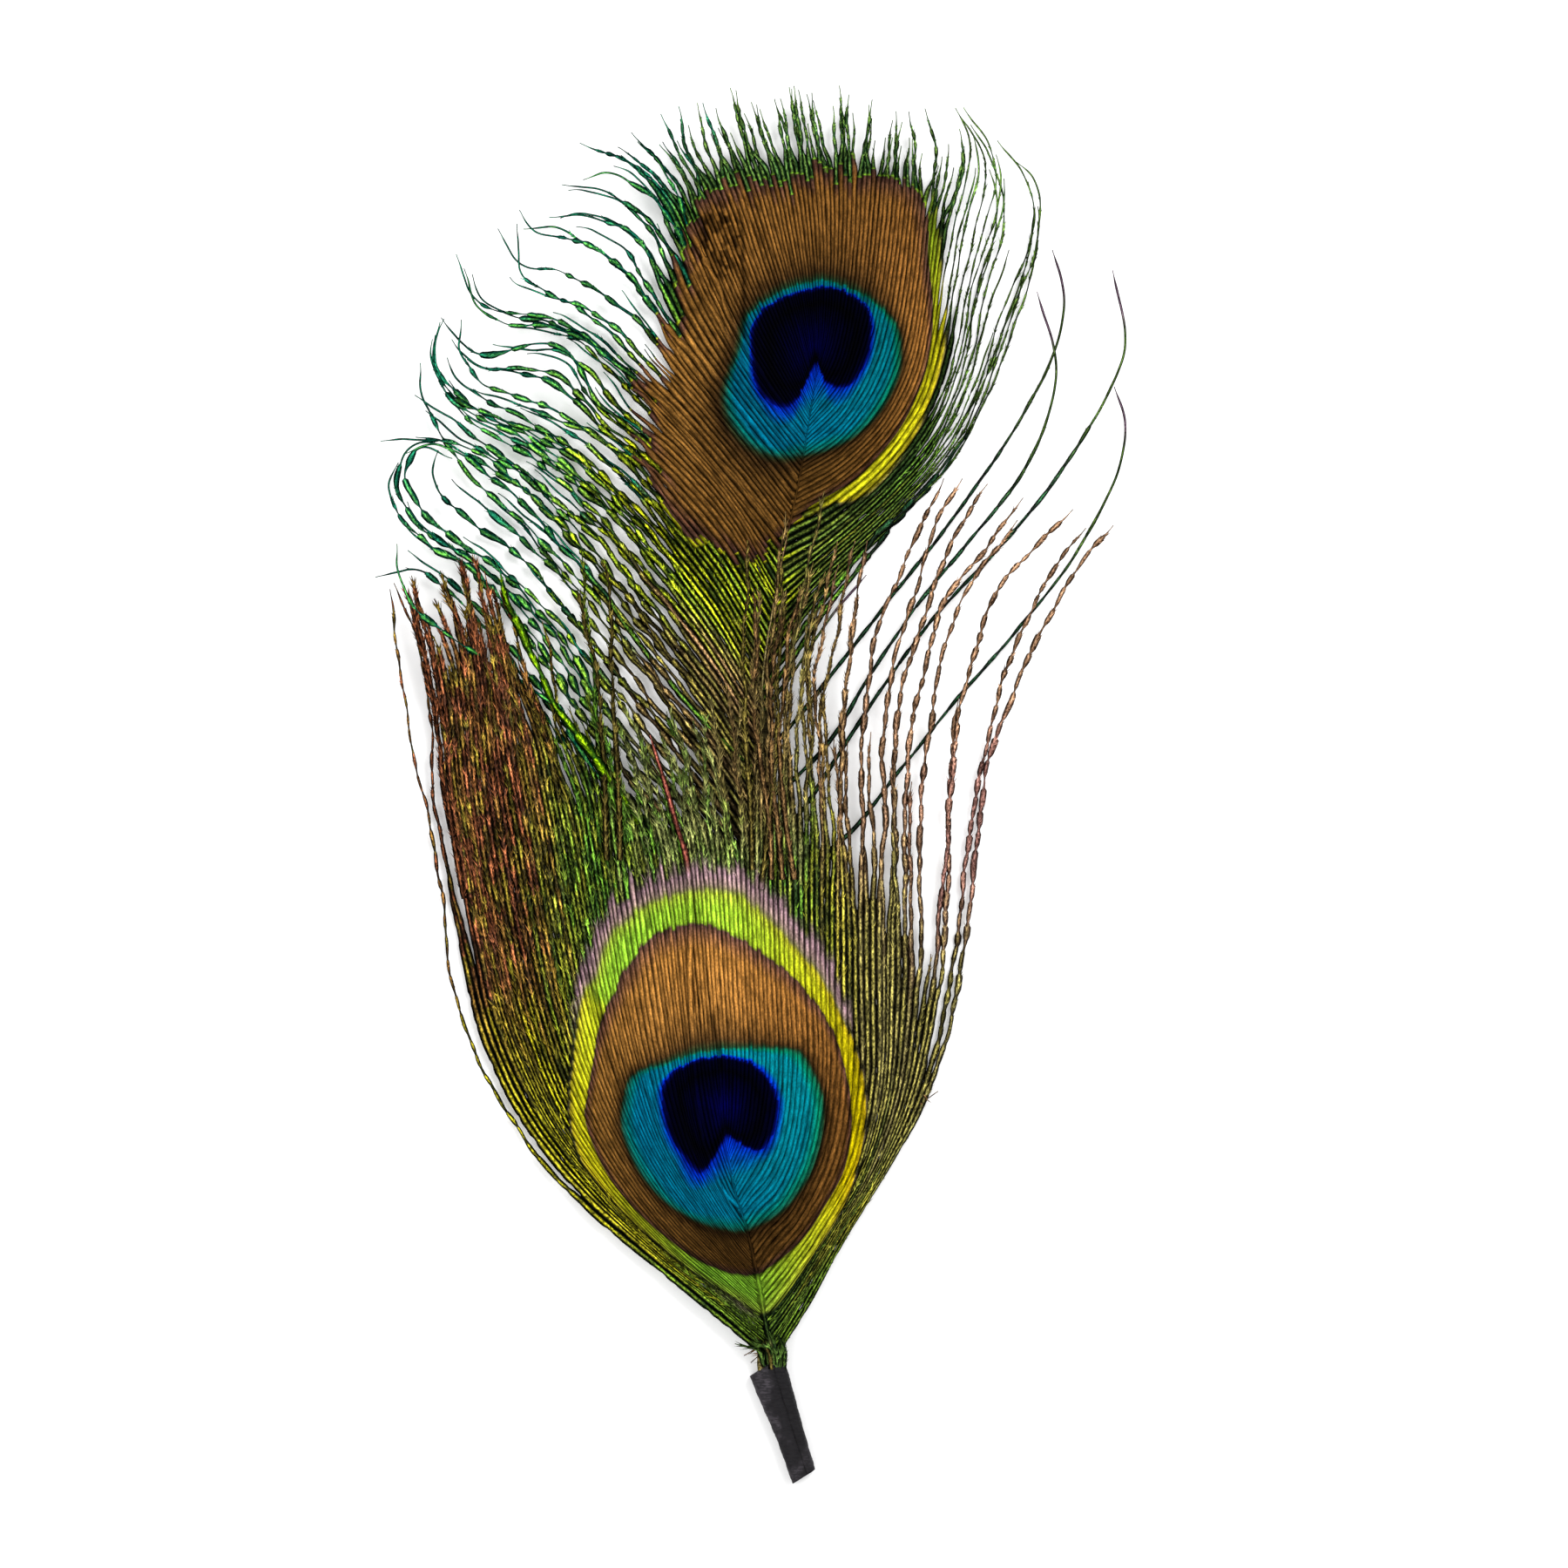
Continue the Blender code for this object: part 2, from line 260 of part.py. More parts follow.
# --- One feather: a shaft with locks of barbs, hooked together near the shaft ----------------------
class Feather:
    """Builds a feather as one closed mesh. Seen from above, the locks follow each other clockwise."""

    def __init__(self, shaft, stations, locks):
        self.mesh = bmesh.new()
        self.shaft = smooth_path(shaft, SMOOTHING * len(shaft))
        self.left_of_shaft = sideways(self.shaft)
        self.stations = stations
        self.locks = locks
        self.count = len(stations) - 1      # locks on each side; one more grows from the shaft's end

    def vertex(self, point):
        """A vertex at the point, or on the surface that the feather lies on where that is higher."""
        x, y, z = (float(v) * MM for v in point)
        return self.mesh.verts.new((x, y, max(z, 0.0)))

    def shaft_at(self, y):
        """The shaft's middle (x, y, z), width, height and left-hand direction where it passes y."""
        columns = np.column_stack([self.shaft, self.left_of_shaft])
        order = np.argsort(columns[:, 1])
        row = [np.interp(y, columns[order, 1], c) for c in columns[order].T]
        return np.array(row[:3]), row[3], row[4], np.array(row[5:8])

    def shaft_ring(self, y):
        """Five vertices round the shaft: left top, ridge, right top, right bottom, left bottom."""
        middle, width, height, left = self.shaft_at(y)
        up = np.array([0, 0, height])
        side = left * width / 2
        return [
            self.vertex(middle + offset)
            for offset in (side + 0.1 * up, 0.5 * up, 0.1 * up - side, -0.5 * up - side, side - 0.5 * up)
        ]

    def face(self, *corners):
        self.mesh.faces.new(corners)

    def build_shaft(self):
        """The bare quill, and the shaft between its first and last station without its side walls."""
        lowest = float(self.shaft[:, 1].min())
        bare = np.linspace(lowest, self.stations[0], 9)[:-1]
        rings = [self.shaft_ring(y) for y in bare]
        self.rings = [self.shaft_ring(y) for y in self.stations]
        self.face(*rings[0])
        for low, high in zip(rings, [*rings[1:], self.rings[0]]):
            for i in range(5):
                j = (i + 1) % 5
                self.face(low[j], low[i], high[i], high[j])
        self.left_middles = []
        self.right_middles = []
        for low, high in zip(self.rings, self.rings[1:]):
            left_middle, right_middle = (
                self.mesh.verts.new((low[i].co + high[i].co) / 2) for i in (0, 2)
            )
            self.left_middles.append(left_middle)
            self.right_middles.append(right_middle)
            self.face(low[1], low[0], left_middle, high[0], high[1])
            self.face(low[2], low[1], high[1], high[2], right_middle)
            self.face(low[4], low[3], high[3], high[4])

    def roots(self):
        """For each lock, the (top, bottom) of its left edge, its ridge and its right edge."""
        n = self.count
        left = [(r[0], r[4]) for r in self.rings]
        right = [(r[2], r[3]) for r in self.rings]
        found = [(left[i], self.left_middles[i], left[i + 1]) for i in range(n)]
        found.append((left[n], self.rings[n][1], right[n]))
        found += [(right[i + 1], self.right_middles[i], right[i]) for i in reversed(range(n))]
        return found

    def routes(self):
        """The middle line of every lock, from the shaft's side to its tip, and its left-hand side."""
        paths, self.fine_paths = [], []
        for (edge_a, _, edge_b), (_, _, route) in zip(self.roots_found, self.locks):
            root = sum((np.array(v.co) for v in (*edge_a, *edge_b)), np.zeros(3)) / 4 / MM
            paths.append(smooth_path([root, *route], LOCK_STEPS))
            self.fine_paths.append(smooth_path([root, *route], LOCK_STEPS * SMOOTHING))
        return paths, [sideways(p) for p in paths]

    def seam(self, i, step, paths, thickness):
        """Top and bottom vertices that lock i and lock i + 1 share while they are hooked together."""
        middle = (paths[i][step] + paths[i + 1][step]) / 2
        up = np.array([0, 0, thickness / 2])
        return self.vertex(middle + up), self.vertex(middle - up)

    def build_locks(self):
        self.roots_found = self.roots()
        paths, lefts = self.routes()
        hooked = [round(share * LOCK_STEPS) for share, _, _ in self.locks]
        thickness = np.linspace(VANE_THICKNESS, TIP_THICKNESS, LOCK_STEPS + 1)
        seams = [
            [None, *(self.seam(i, s, paths, thickness[s]) for s in range(1, hooked[i] + 1))]
            for i in range(len(self.locks) - 1)
        ]
        for i, (left_root, ridge, right_root) in enumerate(self.roots_found):
            before = hooked[i - 1] if i else 0
            after = hooked[i] if i < len(seams) else 0
            last = (left_root, ridge, right_root)
            for s in range(1, LOCK_STEPS + 1):
                up = np.array([0, 0, thickness[s] / 2])
                middle, side = paths[i][s], lefts[i][s] * self.half_width(i, s, paths)
                on_left, on_right = s <= before, s <= after
                left = seams[i - 1][s] if on_left else (
                    self.vertex(middle + side + up), self.vertex(middle + side - up))
                right = seams[i][s] if on_right else (
                    self.vertex(middle - side + up), self.vertex(middle - side - up))
                ridge = self.vertex(middle + up + (0, 0, RIDGE_HEIGHT * (1 - 0.6 * s / LOCK_STEPS)))
                self.lock_segment(last, (left, ridge, right), on_left, on_right)
                last = (left, ridge, right)
            (left_top, left_low), ridge, (right_top, right_low) = last
            self.face(left_low, left_top, ridge, right_top, right_low)

    def half_width(self, i, step, paths):
        """Half the lock's own width: its loose width near the shaft, and narrow at the tip."""
        loose = self.locks[i][1]
        share = step / LOCK_STEPS
        width = loose + (TIP_WIDTH - loose) * max(0.0, share - 0.45) / 0.55
        near = min(
            np.linalg.norm(self.fine_paths[j] - paths[i][step], axis=1).min()
            for j in (i - 1, i + 1) if 0 <= j < len(paths)
        )
        return min(width, max(0.8 * near, TIP_WIDTH)) / 2

    def lock_segment(self, near, far, on_left, on_right):
        (near_lt, near_lb), near_ridge, (near_rt, near_rb) = near
        (far_lt, far_lb), far_ridge, (far_rt, far_rb) = far
        self.face(near_lt, near_ridge, far_ridge, far_lt)
        self.face(near_ridge, near_rt, far_rt, far_ridge)
        self.face(near_rb, near_lb, far_lb, far_rb)
        if not on_left:
            self.face(near_lb, near_lt, far_lt, far_lb)
        if not on_right:
            self.face(near_rt, near_rb, far_rb, far_rt)

    def finish(self, name, colour):
        self.build_shaft()
        self.build_locks()
        self.close_outer_walls()
        return add_object(name, self.mesh, colour, roughness=0.45)

    def close_outer_walls(self):
        """Triangles, so that the solid is the same however it is read, with faces turned outwards."""
        bmesh.ops.triangulate(self.mesh, faces=self.mesh.faces[:])
        bmesh.ops.recalc_face_normals(self.mesh, faces=self.mesh.faces[:])


# --- The tape sleeve ------------------------------------------------------------------------------
def tape_section(left, right, inset):
    """(across, up) corners round the sleeve. The folded-over edge makes the right side one ply higher."""
    top = TAPE_HEIGHT - inset
    upper = top - TAPE_PLY
    left, right, low = left - inset, right - inset, inset
    round_off = 0.45 - inset
    seam = right * TAPE_SEAM
    corners = [
        (-left, low + round_off), (-left, upper - round_off), (-left + round_off, upper),
        (seam - 0.05, upper), (seam + 0.05, top if inset == 0 else upper),
        (right - round_off, top if inset == 0 else upper),
        (right, upper - round_off), (right, low + round_off), (right - round_off, low),
        (-left + round_off, low),
    ]
    return corners


def tape_ring(mesh, share, left, right, inset):
    start, end = np.array(TAPE_MOUTH), np.array(TAPE_END)
    run = (end - start) / np.linalg.norm(end - start)
    across = np.array([-run[1], run[0]])
    ring = []
    for x, z in tape_section(left, right, inset):
        forward = TAPE_SLANT * x if share in (0, 1) else 0.0
        if share == 0 and x < 0:
            forward += TAPE_UNDERLAP * (1 - z / TAPE_HEIGHT)
        at = start + (end - start) * share + across * x - run * forward
        ring.append(mesh.verts.new((at[0] * MM, at[1] * MM, z * MM)))
    return ring


def build_tape():
    mesh = bmesh.new()
    shares = np.linspace(0, 1, len(TAPE_LEFT))
    walls = [
        [tape_ring(mesh, s, l, r, inset) for s, l, r in zip(shares, TAPE_LEFT, TAPE_RIGHT)]
        for inset in (0.0, TAPE_PLY)
    ]
    outer, inner = walls
    count = len(outer[0])
    for wall in walls:
        for low, high in zip(wall, wall[1:]):
            for i in range(count):
                j = (i + 1) % count
                mesh.faces.new((low[i], low[j], high[j], high[i]))
    for end in (0, -1):
        for i in range(count):
            j = (i + 1) % count
            mesh.faces.new((outer[end][i], outer[end][j], inner[end][j], inner[end][i]))
    bmesh.ops.recalc_face_normals(mesh, faces=mesh.faces[:])
    return add_object("stem_tape", mesh, (0.035, 0.034, 0.038), roughness=0.75)


# --- Scene objects --------------------------------------------------------------------------------
def material(name, colour, roughness):
    made = bpy.data.materials.new(name)
    made.use_nodes = True
    shader = made.node_tree.nodes["Principled BSDF"]
    shader.inputs["Base Color"].default_value = (*colour, 1.0)
    shader.inputs["Roughness"].default_value = roughness
    shader.inputs["Metallic"].default_value = 0.0
    return made


def add_object(name, mesh, colour, roughness):
    data = bpy.data.meshes.new(name)
    mesh.to_mesh(data)
    mesh.free()
    data.materials.append(material(name, colour, roughness))
    obj = bpy.data.objects.new(name, data)
    bpy.context.scene.collection.objects.link(obj)
    return obj


def main():
    for obj in list(bpy.data.objects):
        bpy.data.objects.remove(obj)
    Feather(REAR_SHAFT, REAR_STATIONS, REAR_LOCKS).finish("rear_feather", (0.13, 0.14, 0.03))
    Feather(FRONT_SHAFT, FRONT_STATIONS, FRONT_LOCKS).finish("front_feather", (0.16, 0.10, 0.03))
    build_tape()


main()
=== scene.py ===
"""Looks of two trimmed peacock eye feathers, one above the other, bound at their quills in black tape.

Every barb is a mesh of its own form: a thin ribbon with a raised shaft, hooked edge to edge with its
neighbours round the eye and beaded with loose barbules beyond it. A feather's barbs follow its
strands, which are given routes. The strands' tables are in millimetres, in the model's
frame: X to the right, Y from the tape to the tips, Z up from the surface that the feathers lie on.
"""

import math
from collections import namedtuple

import bpy
import numpy as np
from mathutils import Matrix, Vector

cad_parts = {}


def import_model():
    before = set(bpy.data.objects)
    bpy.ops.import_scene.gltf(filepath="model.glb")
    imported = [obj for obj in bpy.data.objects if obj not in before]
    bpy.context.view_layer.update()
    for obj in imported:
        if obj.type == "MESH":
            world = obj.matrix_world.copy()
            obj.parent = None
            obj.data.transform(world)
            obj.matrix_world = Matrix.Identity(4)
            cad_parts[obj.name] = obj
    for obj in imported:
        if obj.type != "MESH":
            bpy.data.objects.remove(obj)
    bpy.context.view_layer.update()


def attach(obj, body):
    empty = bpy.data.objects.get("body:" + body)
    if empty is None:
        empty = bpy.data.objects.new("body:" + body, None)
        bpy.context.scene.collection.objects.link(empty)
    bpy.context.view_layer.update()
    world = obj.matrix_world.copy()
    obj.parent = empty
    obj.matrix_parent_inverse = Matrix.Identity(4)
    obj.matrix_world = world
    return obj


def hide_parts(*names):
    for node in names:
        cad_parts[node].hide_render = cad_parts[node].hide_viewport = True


MM = 0.001
# Lengths are in millimetres where nothing else is said.

# --- Barbs --------------------------------------------------------------------------------------
STEP = 0.27               # between two cross-sections of a barb
FEWEST_STEPS = 8
PATH_POINTS = 240         # that a strand's route is read at
SHAFT_POINTS = 300        # that a shaft is read at, to find its barbs' roots
FLOOR_GAP = 0.02          # that all barbs keep above the surface
BARB_RIDGE = 0.10         # how far a barb's shaft stands above its edges
BARB_KEEL = 0.09          # how far it reaches below them
RIDGED_HALF_WIDTH = 0.2   # from which a barb has its whole ridge and keel
TIP_HALF_WIDTH = 0.05
TIP_TAPER = 2.0           # length over which the tip narrows
TIP_NARROWING = 0.75      # share of the width that it loses
ROOT_TAPER = 1.5          # length over which a root narrows to the barb's own width
ROOT_WIDENING = 1.15
WIDEST_VANE_BARB = 0.48   # half-width past which hooked barbs part
OVERLAP = 1.32            # of hooked barbs, whose edges cover each other
SHINGLE = 0.17            # radians that each is rolled, so that it lies on the next
HOOKED_STRAY = 0.03       # how far a hooked barb strays from its route
LOOSE_WAVE = 0.2          # how far a loose one waves up and down
SWAY_LENGTH = 24.0        # wavelength of a barb's sway,
RIPPLE_LENGTH = 9.0       # of the ripple on it,
WAVE_LENGTH = 21.0        # of its height
ROLL_LENGTH = 11.0        # and of its roll
RIPPLE = 0.12             # share of the sway
OWN_HEIGHTS = (-0.04, 0.04)       # of whole barbs
LOOSE_HEIGHTS = (-0.15, 0.3)      # that their loose parts add
FULL_LENGTHS = (0.86, 1.0)        # shares of its route that a long barb runs
LONGEST_SHORT = 0.97      # share that a short one runs at most
SHORTEST_LOOSE = 0.14     # share that a barb runs at least past its hooked part
LOCK_SPREAD = 0.2         # share of its way across the fan that a gathered barb keeps
DARKEST_TONE = 0.03
GRAIN_SHIFT = 3.7         # between two barbs in the grain's first coordinate

# --- Barbules -----------------------------------------------------------------------------------
BARBULE_HALF_WIDTH = 0.085
BARBULE_RIDGE = 0.05      # above and below the blade's base
BARBULE_ANGLES = (4, 28)  # degrees from the barb
BARBULE_REACHES = (0.5, 1.1)      # shares of the style's reach
BARBULE_LIFTS = (0.0, 0.25)       # of the tips
BARBULE_TONES = (0.35, 1.8)       # by which the barb's tone is multiplied

# --- Random curves ------------------------------------------------------------------------------
WANDER_OCTAVES = (1.0, 0.47, 0.21)
WANDER_SCALE = 1.7        # divides the sum of the octaves, so that it mostly stays within 1
FLECK_LENGTHS = (0.3, 1.8)
BRIGHT_FLECKS = 0.55      # share of them
BRIGHT_LEVELS = (0.5, 1.2)
DARK_LEVELS = (0.0, 0.25)

# --- Texture map: where a part lies in its cell, as shares of it ----------------------------------
TUBE_LEFT = 0.05
TUBE_SPAN = 0.9
CAP_CENTRE = 0.97
CAP_RADIUS = 0.02
ROW_FOOT = 0.02
ROW_SPAN = 0.96
BLADE_ROWS = 90           # rows of cells for the barbules

# --- Shafts -------------------------------------------------------------------------------------
SHAFT_CORNERS = 12
SHAFT_RINGS = 160
SHAFT_FOOT = 2.0          # width of a covered shaft's foot, below the roots of the barbs
FOOT_DROP = 0.45          # how far the foot lies below them
COVERED_WIDTH = 0.42      # share of its width that shows between the barbs
COVERED_HEIGHT = 0.6
SHAFT_GRAIN = -5.0        # its place in the grain's first coordinate

# --- Tape ---------------------------------------------------------------------------------------
TAPE_MOUTH = (1.75, -60.25)
TAPE_END = (5.55, -71.7)
TAPE_SLANT = 0.25         # of its cut ends
TAPE_LENGTH = 12.0
TAPE_RINGS = 90
TAPE_SEED = 5
TAPE_LEFT = (2.0, 1.85, 1.62, 1.42, 1.36, 1.33)       # half-widths from the mouth to the end
TAPE_RIGHT = (1.9, 1.8, 1.66, 1.52, 1.42, 1.35)
BUCKLE = 0.05             # how far the plies wave in height
BUCKLES = 8               # waves that the points of the section share
SEAM = 0.3                # share of the half-width where the lapped edge lies
LAP = 0.07                # that it stands above the ply below
# Its section: (share of the half-width, height, how dark its painted shade is there).
TAPE_SECTION = (
    (-1.0, 0.45, 0), (-1.02, 1.0, 0), (-0.98, 1.5, 0), (-0.85, 1.84, 0), (-0.6, 1.96, 0), (-0.3, 1.98, 0),
    (0.0, 1.98, 0.1), (SEAM - 0.06, 1.97, 0.5), (SEAM - 0.02, 1.95, 0.8), (SEAM, 1.97, 0.8),
    (SEAM + 0.02, 1.98 + LAP, 0.6), (SEAM + 0.15, 2.0 + LAP, 0.6), (0.65, 1.98 + LAP, 0.6),
    (0.85, 1.9 + LAP, 0.6), (0.97, 1.6, 0.6), (1.02, 1.05, 0), (1.0, 0.5, 0), (0.9, 0.12, 0),
    (0.7, 0.02, 0), (0.0, 0.02, 0), (-0.7, 0.02, 0), (-0.9, 0.1, 0),
)
UNDERSIDE = 0.3           # height below which the section stays flat

# --- Camera and stage ---------------------------------------------------------------------------
PHOTO_SIDE = 1800                 # pixels
PIXEL = 0.09                      # mm on the object
ORIGIN_PIXEL = (861.0, 898.5)     # where the frame's origin is in the photograph
CAMERA_HEIGHT = 900.0             # mm above the vanes
VANE_HEIGHT = 1.5                 # mm above the surface, where a pixel is PIXEL wide
SENSOR = 36.0
CLIP_END = 5.0                    # metres
FLOOR_SIDE = 3.0                  # metres
FLOOR_DROP = 0.00002              # metres that the floor lies below the object
SKY_STRENGTH = 0.85

# --- Front feather: its shaft (x, y, z, width, height), and the strands of its vane -----------------
FRONT_SHAFT = (
    (4.1, -65.4, 0.95, 0.9, 0.8),
    (3.36, -62.7, 0.95, 0.9, 0.8),
    (2.72, -60.6, 0.97, 0.9, 0.8),
    (2.42, -59.4, 1.45, 0.9, 0.8),
    (2.25, -58.4, 2.0, 0.9, 0.85),
    (1.95, -57.2, 2.4, 0.95, 0.85),
    (1.5, -55.0, 2.7, 0.95, 0.85),
    (1.05, -52.3, 3.0, 0.85, 0.8),
    (0.6, -50.0, 3.1, 0.8, 0.75),
    (-0.2, -46.5, 3.2, 0.6, 0.7),
    (-0.8, -44.5, 3.2, 0.5, 0.65),
    (-1.7, -41.5, 3.2, 0.4, 0.6),
    (-2.6, -37.0, 3.2, 0.25, 0.5),
    (-2.8, -35.6, 3.2, 0.2, 0.42),
)
